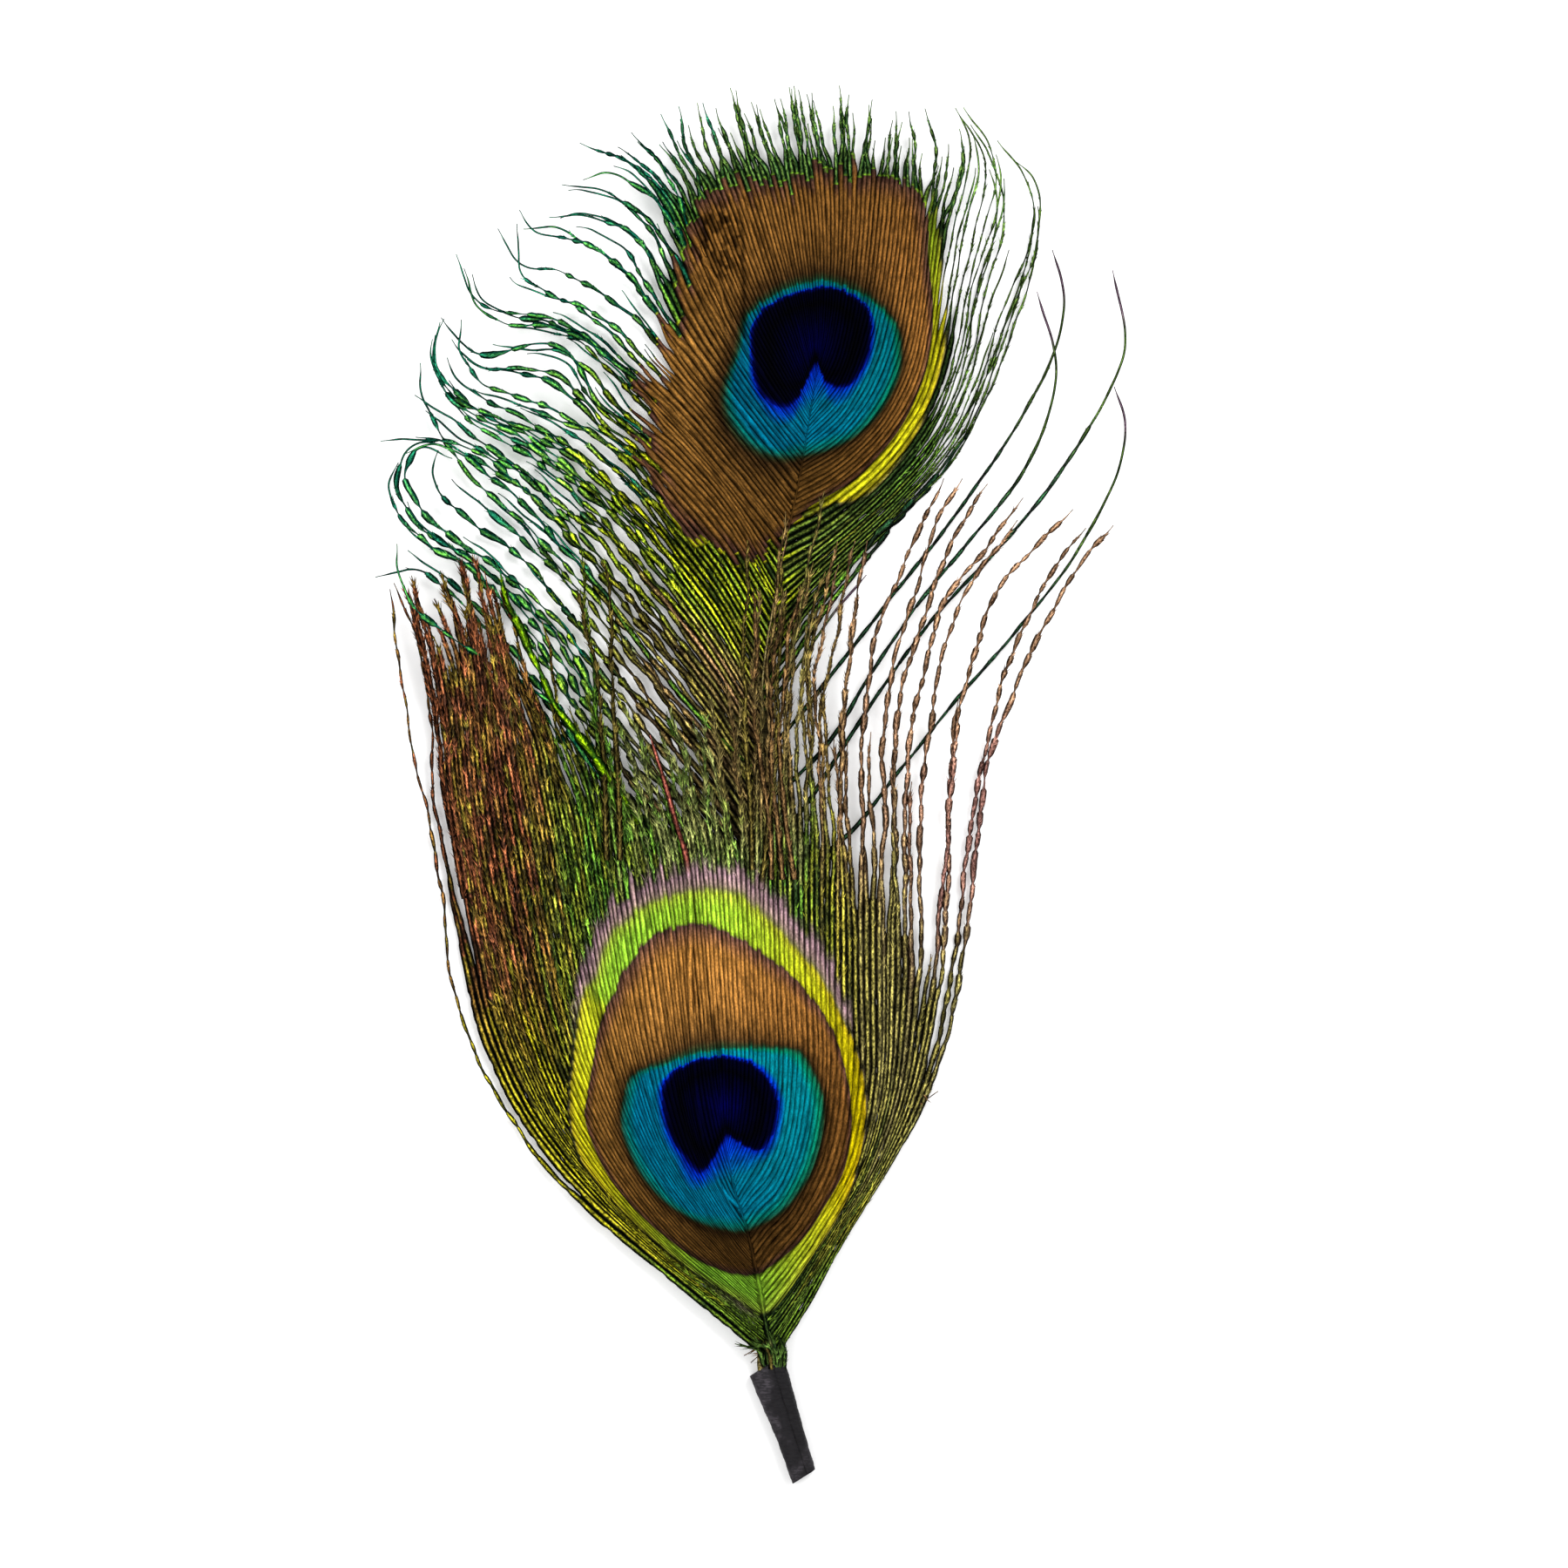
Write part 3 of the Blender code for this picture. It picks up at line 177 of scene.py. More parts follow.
# Strands in order from the lowest on the left, round the top, to the lowest on the right. Each is
# (share of it that is hooked in the vane, style of its loose part and of the barbs up to the next
# strand, y of its root on the shaft, route).
FRONT_STRANDS = (
    (0.14, "stray", -59.7, ((-0.5, -57.3, 2.05), (-2.8, -55.4, 1.95), (-10.0, -49.6, 1.5),
        (-17.5, -43.2, 1.1), (-24.0, -36.0, 0.7), (-28.6, -27.5, 0.5), (-31.0, -19.0, 0.4),
        (-32.0, -11.0, 0.4), (-33.4, -2.5, 0.6), (-35.0, 5.0, 1.0), (-36.3, 13.0, 1.7),
        (-37.0, 20.0, 2.4))),
    (0.2, "stray", -59.1, ((-0.4, -56.7, 2.1), (-2.5, -54.9, 2.0), (-9.7, -49.1, 1.6),
        (-17.0, -42.6, 1.25), (-23.0, -35.3, 0.9), (-27.2, -27.0, 0.65), (-29.3, -19.0, 0.5),
        (-31.0, -11.0, 0.55), (-32.6, -2.5, 0.8), (-33.0, 5.0, 1.3), (-34.2, 13.0, 2.0),
        (-36.8, 20.6, 2.8))),
    (0.8, "woven", -57.9, ((-2.2, -54.3, 2.1), (-9.3, -48.6, 1.7), (-16.0, -42.0, 1.5),
        (-21.6, -34.5, 1.25), (-25.6, -26.0, 1.1), (-27.8, -17.5, 1.05), (-29.3, -9.0, 1.2),
        (-30.8, -1.0, 1.5), (-31.8, 7.0, 1.95), (-33.2, 14.5, 2.4), (-35.4, 21.2, 2.9))),
    (0.92, "woven", -57.0, ((-1.8, -53.8, 2.05), (-8.9, -48.0, 1.85), (-15.2, -41.2, 1.7),
        (-20.2, -33.5, 1.6), (-23.6, -25.0, 1.5), (-25.8, -16.5, 1.5), (-27.4, -8.0, 1.7),
        (-28.4, 0.0, 1.95), (-29.0, 8.0, 2.25), (-30.0, 15.0, 2.65), (-32.2, 21.8, 3.1))),
    (0.93, "woven", -56.0, ((-1.5, -53.2, 2.15), (-8.5, -47.3, 2.0), (-14.3, -40.3, 1.9),
        (-18.9, -32.3, 1.85), (-21.9, -24.0, 1.8), (-23.8, -15.5, 1.85), (-25.3, -7.0, 2.0),
        (-26.6, 1.0, 2.2), (-27.5, 9.0, 2.4), (-28.6, 16.0, 2.75), (-30.6, 23.0, 3.3))),
    (0.92, "woven", -55.0, ((-1.3, -52.4, 2.3), (-7.9, -46.3, 2.2), (-13.2, -39.3, 2.1),
        (-17.3, -31.2, 2.05), (-20.0, -23.0, 2.0), (-21.8, -14.5, 2.05), (-23.3, -6.0, 2.15),
        (-24.8, 2.0, 2.3), (-26.0, 9.5, 2.5), (-27.3, 16.5, 2.9), (-28.8, 23.5, 3.4))),
    (0.8, "green", -53.5, ((-1.1, -51.3, 2.45), (-7.2, -45.0, 2.4), (-11.9, -38.3, 2.3),
        (-15.3, -30.5, 2.25), (-17.6, -22.5, 2.2), (-19.3, -14.0, 2.2), (-20.9, -5.5, 2.25),
        (-22.5, 2.5, 2.35), (-23.9, 9.5, 2.5), (-25.2, 16.0, 2.8), (-26.6, 22.0, 3.2))),
    (0.72, "green", -51.9, ((-1.2, -49.8, 2.6), (-6.4, -43.5, 2.6), (-10.4, -37.0, 2.5),
        (-13.1, -29.5, 2.5), (-15.0, -21.8, 2.4), (-16.5, -13.5, 2.35), (-18.0, -5.5, 2.35),
        (-19.4, 2.0, 2.4), (-20.8, 9.0, 2.5), (-22.0, 15.0, 2.8), (-23.6, 20.5, 3.1))),
    (0.6, "tuft", -50.2, ((-1.5, -47.8, 2.8), (-5.6, -42.0, 2.8), (-8.8, -35.8, 2.75),
        (-10.8, -28.8, 2.7), (-12.3, -21.3, 2.6), (-13.5, -13.3, 2.5), (-14.6, -5.5, 2.45),
        (-15.4, 2.0, 2.45), (-15.8, 9.0, 2.6), (-16.0, 16.0, 2.9), (-16.6, 24.0, 3.3))),
    (0.74, "short", -48.4, ((-1.8, -45.6, 3.0), (-4.9, -40.3, 3.0), (-7.0, -34.5, 2.95),
        (-8.4, -28.0, 2.9), (-9.5, -21.0, 2.8), (-10.6, -13.3, 2.65), (-12.2, -5.5, 2.5),
        (-14.5, 2.0, 2.5), (-17.0, 9.0, 2.7))),
    (0.72, "short", -46.0, ((-2.3, -43.0, 3.15), (-4.3, -38.5, 3.15), (-5.5, -33.5, 3.1),
        (-6.2, -27.5, 3.0), (-6.9, -20.8, 2.9), (-7.6, -13.3, 2.75), (-8.8, -5.5, 2.6),
        (-10.8, 2.0, 2.5), (-13.0, 8.0, 2.6))),
    (0.68, "short", -37.0, ((-2.9, -33.0, 3.2), (-3.2, -27.5, 3.15), (-3.7, -21.0, 3.05),
        (-4.2, -13.5, 2.9), (-5.0, -5.5, 2.7), (-6.4, 2.0, 2.6), (-8.2, 7.5, 2.5))),
    (0.64, "short", -39.2, ((-0.9, -35.5, 3.15), (-0.3, -29.0, 3.1), (-0.6, -21.5, 3.0),
        (-1.0, -13.5, 2.85), (-1.4, -5.0, 2.7), (-2.0, 3.0, 2.6), (-2.8, 9.0, 2.5))),
    (0.52, "brown", -42.2, ((0.4, -38.5, 3.1), (1.6, -35.3, 3.1), (2.3, -29.0, 3.0), (2.0, -21.5, 2.9),
        (1.7, -13.5, 2.75), (1.6, -5.0, 2.6), (1.7, 3.0, 2.5), (1.9, 10.0, 2.45), (2.5, 17.0, 2.5),
        (3.4, 28.0, 2.8))),
    (0.5, "brown", -44.5, ((0.3, -43.0, 3.1), (2.2, -40.8, 3.0), (3.9, -36.5, 3.0), (4.7, -29.0, 2.9),
        (4.4, -21.5, 2.75), (4.2, -13.5, 2.65), (4.0, -5.0, 2.5), (3.7, 3.0, 2.4), (3.8, 10.0, 2.4),
        (4.9, 17.5, 2.6), (7.8, 30.0, 3.0))),
    (0.52, "brown", -46.9, ((1.3, -45.0, 3.0), (3.6, -42.5, 2.9), (5.7, -37.3, 2.85), (6.8, -29.5, 2.7),
        (6.6, -21.5, 2.6), (6.4, -13.5, 2.5), (6.4, -5.0, 2.4), (6.0, 3.0, 2.35), (5.9, 10.0, 2.4),
        (6.7, 17.0, 2.6), (8.6, 25.0, 3.0))),
    (0.52, "brown", -49.3, ((2.2, -47.0, 2.85), (4.8, -44.0, 2.75), (7.5, -38.0, 2.65),
        (8.6, -30.0, 2.5), (8.5, -21.5, 2.4), (8.5, -13.5, 2.35), (8.5, -5.0, 2.3), (7.9, 3.0, 2.3),
        (7.8, 10.0, 2.4), (8.9, 17.0, 2.6), (10.6, 25.0, 3.0))),
    (0.46, "tan", -51.5, ((2.9, -48.9, 2.7), (6.0, -45.0, 2.5), (9.1, -38.6, 2.4), (10.4, -30.5, 2.3),
        (10.3, -21.5, 2.2), (10.2, -13.5, 2.15), (9.6, -5.0, 2.15), (9.4, 3.0, 2.2), (9.8, 10.0, 2.3),
        (10.8, 17.0, 2.5), (12.0, 25.0, 2.9))),
    (0.44, "tan", -53.4, ((3.6, -50.6, 2.5), (7.0, -45.8, 2.3), (10.5, -39.3, 2.2), (12.1, -31.0, 2.1),
        (12.1, -22.0, 2.0), (12.0, -13.5, 1.95), (11.8, -5.0, 2.0), (11.5, 1.0, 2.1), (11.8, 8.0, 2.2),
        (13.0, 15.0, 2.4), (15.3, 21.0, 2.6), (19.8, 31.5, 3.2))),
    (0.43, "tan", -54.7, ((4.0, -51.6, 2.4), (7.8, -46.0, 2.15), (11.3, -39.5, 2.0), (13.2, -31.2, 1.9),
        (13.4, -22.0, 1.8), (13.4, -13.5, 1.8), (13.9, -4.0, 1.9), (14.0, 4.0, 2.1), (15.3, 12.5, 2.3),
        (17.5, 20.0, 2.7), (20.0, 27.0, 3.1), (22.5, 31.0, 3.4))),
    (0.42, "tan", -55.7, ((4.3, -52.3, 2.3), (8.2, -46.3, 2.05), (11.9, -39.8, 1.9), (14.2, -31.5, 1.7),
        (14.7, -22.0, 1.65), (14.8, -13.5, 1.65), (15.0, -4.0, 1.8), (15.2, 4.0, 2.0),
        (16.5, 12.0, 2.3), (19.0, 19.0, 2.7), (21.5, 25.0, 3.1), (25.0, 30.5, 3.5))),
    (0.4, "tan", -56.6, ((4.6, -52.8, 2.2), (8.6, -46.4, 1.95), (12.3, -40.0, 1.75), (15.0, -31.7, 1.5),
        (15.9, -22.0, 1.5), (16.0, -13.5, 1.5), (16.1, -4.0, 1.75), (16.2, 3.5, 2.0), (17.5, 10.0, 2.2),
        (20.0, 18.5, 2.6), (23.5, 23.5, 2.9), (28.0, 29.5, 3.4))),
    (0.36, "tan", -57.6, ((5.0, -53.3, 2.1), (9.0, -46.5, 1.85), (12.9, -40.0, 1.6), (15.9, -31.8, 1.3),
        (17.2, -22.0, 1.2), (17.6, -13.5, 1.25), (17.5, -3.0, 1.6), (18.2, 6.0, 2.0), (19.8, 14.0, 2.3),
        (22.0, 20.0, 2.6), (27.0, 27.5, 3.1))),
    (0.32, "tan", -58.5, ((3.7, -56.3, 2.0), (5.4, -53.5, 2.0), (9.5, -46.6, 1.7), (13.6, -40.0, 1.3),
        (17.1, -32.1, 1.0), (19.4, -22.0, 0.8), (20.2, -13.5, 0.9), (20.8, -3.0, 1.35),
        (21.5, 6.0, 1.8), (23.0, 12.5, 2.2), (25.5, 19.0, 2.6), (28.5, 23.0, 2.9), (33.5, 28.0, 3.4))),
    (0.3, "tan", -59.2, ((3.8, -56.8, 2.0), (5.6, -53.9, 2.0), (9.7, -46.8, 1.65), (13.9, -40.0, 1.25),
        (17.7, -32.2, 0.85), (20.6, -22.0, 0.5), (21.7, -13.5, 0.5), (22.8, -5.0, 0.9),
        (24.4, 2.0, 1.4), (26.0, 9.5, 1.9), (28.5, 16.0, 2.4), (31.0, 20.5, 2.8), (35.0, 26.0, 3.2))),
    (0.25, "tan", -59.7, ((3.9, -57.2, 1.95), (5.8, -54.2, 2.0), (9.9, -46.9, 1.6), (14.2, -40.0, 1.2),
        (18.2, -32.3, 0.7), (21.4, -22.0, 0.4), (22.6, -13.5, 0.4), (23.4, -5.0, 0.6), (24.3, 1.0, 1.1),
        (26.7, 8.5, 1.7), (29.8, 16.0, 2.3), (33.0, 21.5, 2.8), (37.2, 26.8, 3.2))),
)

FRONT_TOP = 11            # index of the strand at the top, which both sides have
FRONT_SEED = 11
FRONT_SINGLES_SEED = 13

# --- Rear feather, in the same way ------------------------------------------------------------------
REAR_SHAFT = (
    (5.35, -71.3, 0.95, 0.85, 0.8),
    (4.3, -68.4, 0.95, 0.9, 0.8),
    (2.85, -65.4, 0.95, 0.9, 0.8),
    (1.95, -63.0, 0.95, 0.9, 0.8),
    (1.25, -61.0, 0.92, 0.85, 0.8),
    (1.12, -59.6, 0.6, 0.8, 0.7),
    (1.35, -57.8, 0.5, 0.8, 0.7),
    (2.0, -55.0, 0.55, 0.85, 0.75),
    (2.9, -50.0, 0.8, 0.9, 0.8),
    (2.9, -35.0, 0.95, 0.9, 0.8),
    (2.5, -22.0, 1.0, 0.85, 0.75),
    (2.1, -10.0, 1.0, 0.8, 0.72),
    (1.5, 0.0, 1.0, 0.75, 0.7),
    (1.2, 6.0, 1.0, 0.7, 0.68),
    (1.4, 11.5, 1.0, 0.65, 0.66),
    (2.2, 17.0, 1.0, 0.6, 0.64),
    (3.2, 22.5, 1.05, 0.5, 0.62),
    (4.4, 28.0, 1.1, 0.45, 0.6),
    (5.4, 33.0, 1.1, 0.4, 0.56),
    (6.2, 38.0, 1.1, 0.3, 0.52),
    (6.9, 42.5, 1.1, 0.22, 0.5),
    (6.8, 44.2, 1.05, 0.2, 0.42),
    (6.6, 46.6, 0.9, 0.2, 0.36),
)
REAR_STRANDS = (
    (0.06, "open", -23.6, ((-4.0, -14.5, 0.95), (-10.5, -7.3, 0.9), (-16.2, 0.0, 0.85),
        (-20.6, 6.4, 0.8), (-24.5, 12.4, 0.75), (-28.6, 17.6, 0.75), (-32.3, 21.2, 1.1),
        (-35.3, 22.6, 2.0), (-38.8, 21.8, 3.0))),
    (0.06, "open", -19.2, ((-4.0, -10.3, 0.95), (-10.3, -2.8, 0.9), (-15.8, 4.6, 0.85),
        (-20.3, 11.2, 0.8), (-24.5, 17.0, 0.8), (-29.0, 21.8, 1.1), (-33.5, 24.6, 2.4),
        (-36.5, 27.6, 4.0), (-37.2, 30.3, 5.0), (-36.4, 33.0, 5.6))),
    (0.08, "open", -14.8, ((-4.0, -5.6, 0.95), (-10.0, 1.6, 0.85), (-15.5, 8.9, 0.8),
        (-20.0, 15.2, 0.75), (-24.5, 20.5, 0.8), (-29.3, 24.4, 1.4), (-33.8, 27.5, 2.4),
        (-36.0, 31.0, 3.0), (-35.2, 34.2, 3.0), (-33.3, 35.0, 2.9), (-30.5, 34.0, 2.8))),
    (0.1, "open", -10.4, ((-4.0, -1.3, 0.9), (-9.8, 5.8, 0.85), (-15.0, 12.7, 0.75), (-19.5, 18.7, 0.7),
        (-23.8, 23.3, 0.8), (-28.3, 26.4, 1.2), (-31.6, 29.0, 1.8), (-32.8, 31.8, 2.4),
        (-31.9, 34.2, 2.9))),
    (0.12, "leafy", -5.8, ((-4.0, 3.2, 0.9), (-9.5, 10.0, 0.8), (-14.5, 16.7, 0.7), (-19.0, 22.5, 0.65),
        (-23.5, 27.2, 0.7), (-27.8, 31.0, 0.8), (-31.3, 35.0, 0.8), (-33.3, 39.3, 0.8),
        (-33.7, 43.4, 1.2))),
    (0.14, "leafy", -1.0, ((-4.0, 7.8, 0.9), (-9.3, 14.4, 0.8), (-14.2, 20.8, 0.7), (-18.8, 26.2, 0.8),
        (-23.5, 30.7, 1.5), (-28.0, 33.9, 2.8), (-32.5, 35.5, 4.2), (-38.0, 35.5, 5.4))),
    (0.18, "leafy", 4.0, ((-4.0, 12.6, 0.9), (-9.0, 19.1, 0.75), (-13.8, 25.1, 0.65),
        (-18.5, 30.1, 0.7), (-23.5, 34.0, 1.1), (-28.5, 36.8, 1.9), (-32.0, 40.0, 2.7),
        (-33.3, 43.5, 3.3), (-33.0, 46.2, 3.9))),
    (0.24, "leafy", 9.0, ((-3.6, 17.3, 0.9), (-8.5, 23.8, 0.75), (-13.2, 29.4, 0.65),
        (-18.0, 33.7, 0.9), (-23.3, 36.8, 1.7), (-28.3, 38.9, 3.0), (-31.3, 41.9, 4.3),
        (-32.0, 45.0, 5.2), (-31.2, 47.6, 5.9))),
    (0.28, "leafy", 14.0, ((-2.8, 21.8, 0.95), (-7.7, 28.1, 0.75), (-12.5, 33.3, 0.7),
        (-17.5, 37.0, 1.1), (-23.0, 39.5, 2.1), (-27.8, 41.0, 3.5), (-30.2, 44.0, 5.3),
        (-30.0, 47.6, 6.6))),
    (0.34, "leafy", 18.4, ((-2.0, 25.8, 0.95), (-6.8, 31.5, 0.75), (-11.3, 35.7, 0.9),
        (-15.2, 38.5, 1.9), (-17.0, 41.2, 2.9), (-18.9, 44.2, 3.5), (-22.5, 45.1, 3.6),
        (-26.8, 44.0, 3.2), (-30.0, 45.0, 2.4), (-32.3, 47.7, 1.8))),
    (0.48, "sparse", 20.6, ((-1.6, 28.2, 0.95), (-6.4, 34.0, 0.7), (-10.8, 38.2, 0.7),
        (-14.3, 42.0, 1.0), (-17.0, 44.7, 1.3), (-20.0, 46.0, 1.6), (-25.0, 46.9, 1.9))),
    (0.42, "sparse", 24.0, ((-1.2, 30.0, 0.95), (-6.1, 35.8, 0.7), (-10.7, 40.6, 0.6),
        (-14.8, 44.6, 0.8), (-18.6, 47.6, 1.2), (-22.3, 49.0, 1.7), (-26.0, 49.2, 2.5),
        (-28.5, 51.0, 3.5), (-29.3, 54.6, 4.6))),
    (0.4, "sparse", 26.0, ((-0.6, 32.0, 0.95), (-5.3, 37.6, 0.7), (-9.8, 42.6, 0.6), (-13.4, 46.8, 0.9),
        (-17.0, 49.6, 1.7), (-20.6, 51.0, 2.6), (-23.0, 52.4, 3.2), (-23.4, 55.0, 3.7),
        (-23.2, 57.5, 4.2))),
    (0.4, "sparse", 27.7, ((-0.1, 33.5, 0.95), (-4.6, 39.0, 0.65), (-8.8, 44.0, 0.45),
        (-12.2, 48.4, 0.8), (-15.8, 51.4, 1.5), (-19.6, 53.4, 2.5), (-23.3, 54.3, 3.4),
        (-25.2, 57.5, 4.2))),
    (0.44, "sparse", 29.5, ((0.4, 35.0, 0.95), (-3.9, 40.4, 0.6), (-7.8, 45.6, 0.4), (-10.7, 50.4, 0.8),
        (-13.6, 54.0, 1.6), (-17.5, 56.1, 2.7), (-21.5, 57.0, 4.0), (-23.2, 59.3, 5.0))),
    (0.47, "sparse", 31.3, ((1.0, 36.3, 0.95), (-3.2, 41.7, 0.6), (-6.9, 47.0, 0.4), (-9.2, 51.6, 0.8),
        (-11.4, 55.8, 1.8), (-14.8, 58.1, 3.0), (-18.0, 58.8, 4.2), (-20.7, 58.5, 5.2))),
    (0.66, "fringe", 34.7, ((2.0, 39.5, 0.95), (-1.4, 44.8, 0.6), (-4.2, 50.3, 0.4), (-6.4, 55.3, 0.5),
        (-8.7, 60.0, 1.3), (-11.5, 63.0, 2.4), (-14.6, 64.6, 3.6), (-17.6, 65.6, 4.8))),
    (0.74, "fringe", 38.0, ((3.8, 42.3, 1.0), (1.2, 47.3, 0.7), (-1.2, 52.8, 0.4), (-3.2, 58.0, 0.4),
        (-5.0, 62.5, 0.9), (-6.6, 66.0, 1.7), (-7.4, 69.8, 2.6))),
    (0.71, "fringe", 41.0, ((5.5, 45.3, 1.05), (4.0, 50.5, 0.8), (2.4, 56.0, 0.55), (1.0, 61.0, 0.5),
        (-0.4, 65.0, 0.9), (-1.6, 68.4, 1.4), (-2.6, 71.6, 2.0))),
    (0.71, "fringe", 42.5, ((6.8, 47.5, 1.05), (6.5, 53.0, 0.8), (6.0, 58.5, 0.6), (5.4, 63.0, 0.6),
        (4.6, 67.2, 0.9), (3.6, 71.8, 1.4))),
    (0.71, "fringe", 41.0, ((8.3, 46.0, 1.05), (9.1, 52.0, 0.8), (9.4, 58.0, 0.55), (9.4, 63.0, 0.6),
        (9.2, 67.5, 0.9), (8.8, 72.0, 1.3))),
    (0.76, "fringe", 38.0, ((9.3, 42.5, 1.0), (10.8, 48.0, 0.75), (11.7, 54.0, 0.5), (12.2, 60.0, 0.45),
        (12.5, 64.5, 0.7), (12.8, 67.8, 1.1), (13.1, 70.5, 1.6))),
    (0.76, "fringe", 34.7, ((9.6, 38.2, 1.0), (12.4, 43.5, 0.75), (14.0, 49.5, 0.45),
        (15.0, 56.0, 0.35), (15.6, 61.5, 0.5), (15.9, 65.5, 0.9), (16.2, 69.3, 1.5))),
    (0.76, "fringe", 31.3, ((9.5, 34.0, 1.0), (13.7, 38.5, 0.75), (16.3, 44.5, 0.45), (17.5, 51.0, 0.4),
        (18.2, 57.5, 0.4), (18.8, 62.5, 0.7), (19.1, 66.3, 1.2), (18.0, 69.6, 2.0))),
    (0.62, "wisp", 27.7, ((9.0, 30.3, 1.0), (14.0, 34.8, 0.75), (17.6, 40.5, 0.45), (19.2, 47.0, 0.4),
        (19.9, 52.0, 0.5), (20.9, 58.0, 0.9), (22.3, 62.8, 1.4), (22.3, 66.6, 2.2), (20.8, 69.4, 3.3))),
    (0.32, "wisp", 24.0, ((8.5, 26.8, 0.95), (14.3, 31.9, 0.7), (18.8, 37.9, 0.45), (21.2, 44.5, 0.4),
        (22.4, 51.0, 0.5), (24.0, 56.5, 1.0), (25.3, 62.0, 1.6), (24.4, 66.0, 2.5), (21.8, 69.4, 4.3))),
    (0.3, "wisp", 20.0, ((8.0, 24.2, 0.9), (14.5, 29.9, 0.65), (19.7, 36.1, 0.4), (22.6, 43.0, 0.4),
        (24.3, 50.5, 0.5), (26.3, 57.0, 1.0), (26.2, 61.5, 1.8), (24.6, 65.2, 3.0), (22.8, 67.8, 5.0))),
    (0.28, "wisp", 16.0, ((7.5, 21.7, 0.9), (14.5, 28.1, 0.6), (20.4, 34.8, 0.4), (23.8, 41.8, 0.4),
        (26.1, 49.0, 0.5), (28.8, 55.8, 1.0), (28.9, 59.6, 1.9), (27.6, 62.8, 3.2), (25.2, 65.9, 5.0))),
    (0.27, "wisp", 11.7, ((7.0, 19.0, 0.9), (14.3, 26.3, 0.6), (20.9, 33.4, 0.4), (24.9, 40.7, 0.35),
        (27.8, 48.0, 0.4), (29.4, 54.0, 0.7), (30.1, 59.3, 1.3), (29.4, 62.5, 2.0), (27.6, 64.2, 2.8))),
)
REAR_TOP = 19
REAR_SEED = 23
REAR_SINGLES_SEED = 37
LONE_SEED = 31
# The few long single barbs on the right and a short one above them: (y of the root, route).
REAR_STRAYS = (
    (7.2, ((4.2, 11.0, 0.9), (8.3, 17.0, 0.7), (12.0, 21.5, 0.6))),
    (2.7, ((4.7, 6.5, 0.9), (8.7, 11.5, 0.8), (14.5, 19.0, 0.7), (19.7, 25.7, 0.5), (24.0, 31.5, 0.4),
        (28.0, 37.6, 0.4), (31.0, 43.5, 0.6), (32.4, 48.5, 1.3), (32.2, 51.8, 2.0), (31.2, 55.0, 2.8))),
    (-1.8, ((5.0, 0.8, 0.9), (8.6, 4.8, 0.8), (12.5, 11.2, 0.75), (17.0, 18.0, 0.7), (22.0, 24.2, 0.7),
        (27.2, 30.5, 0.9), (30.3, 36.5, 1.7), (31.5, 41.5, 2.6), (31.2, 45.3, 3.3), (29.6, 50.6, 4.2))),
    (-6.3, ((5.3, -3.0, 0.9), (9.3, 3.2, 0.8), (14.5, 11.0, 0.7), (20.0, 18.2, 0.6), (26.0, 24.6, 0.5),
        (31.5, 31.2, 0.6), (35.5, 37.5, 1.1), (38.0, 42.5, 1.9), (38.7, 46.2, 2.7), (37.4, 52.8, 4.0))),
    (-10.8, ((5.5, -9.0, 0.9), (10.7, -4.8, 0.75), (15.5, 1.3, 0.6), (21.0, 8.2, 0.5),
        (27.0, 15.0, 0.5), (32.5, 22.0, 0.7), (36.4, 28.5, 1.3), (38.4, 33.5, 2.0), (38.7, 37.5, 2.8),
        (37.5, 40.8, 3.6))),
)

# --- Eye markings -----------------------------------------------------------------------------------
# Each marking's outline, in order from the heart out. The zone value is 1 on the first outline, 2 on
# the second and so on, and the colours are ramps along it.
FRONT_EYE_CENTRE = (-3.0, -33.5)
FRONT_HEART = (
    (-9.2, -32.0), (-8.5, -36.0), (-7.0, -38.5), (-5.2, -40.2), (-3.8, -38.8), (-2.4, -36.4),
    (-1.0, -37.3), (1.0, -38.0), (2.3, -36.5), (2.9, -34.0), (2.9, -32.5), (2.0, -30.5), (0.0, -28.8),
    (-3.0, -28.1), (-6.0, -28.7), (-8.3, -30.0),
)
FRONT_TURQUOISE = (
    (-13.2, -34.5), (-12.4, -30.6), (-9.0, -29.0), (-6.0, -28.0), (-3.0, -27.5), (0.0, -27.4),
    (3.0, -27.4), (5.0, -27.8), (6.3, -29.5), (7.4, -32.0), (7.6, -34.5), (7.0, -38.0), (5.8, -41.0),
    (3.5, -44.0), (1.0, -45.5), (-1.0, -46.2), (-3.0, -46.0), (-6.0, -45.0), (-9.0, -43.0),
    (-11.5, -40.0), (-13.0, -36.5),
)
FRONT_BRONZE = (
    (-6.0, -14.5), (-10.0, -15.7), (-12.9, -19.3), (-14.0, -21.6), (-15.4, -24.6), (-16.6, -31.0),
    (-17.0, -35.0), (-15.0, -40.0), (-12.0, -44.0), (-8.0, -47.5), (-5.0, -49.5), (-1.0, -50.8),
    (1.5, -50.3), (3.5, -48.8), (5.6, -46.9), (7.4, -44.2), (9.6, -40.2), (10.5, -36.0), (10.3, -32.0),
    (9.5, -28.0), (8.0, -24.5), (5.5, -21.0), (3.0, -18.8), (0.0, -16.8), (-3.0, -15.1),
)
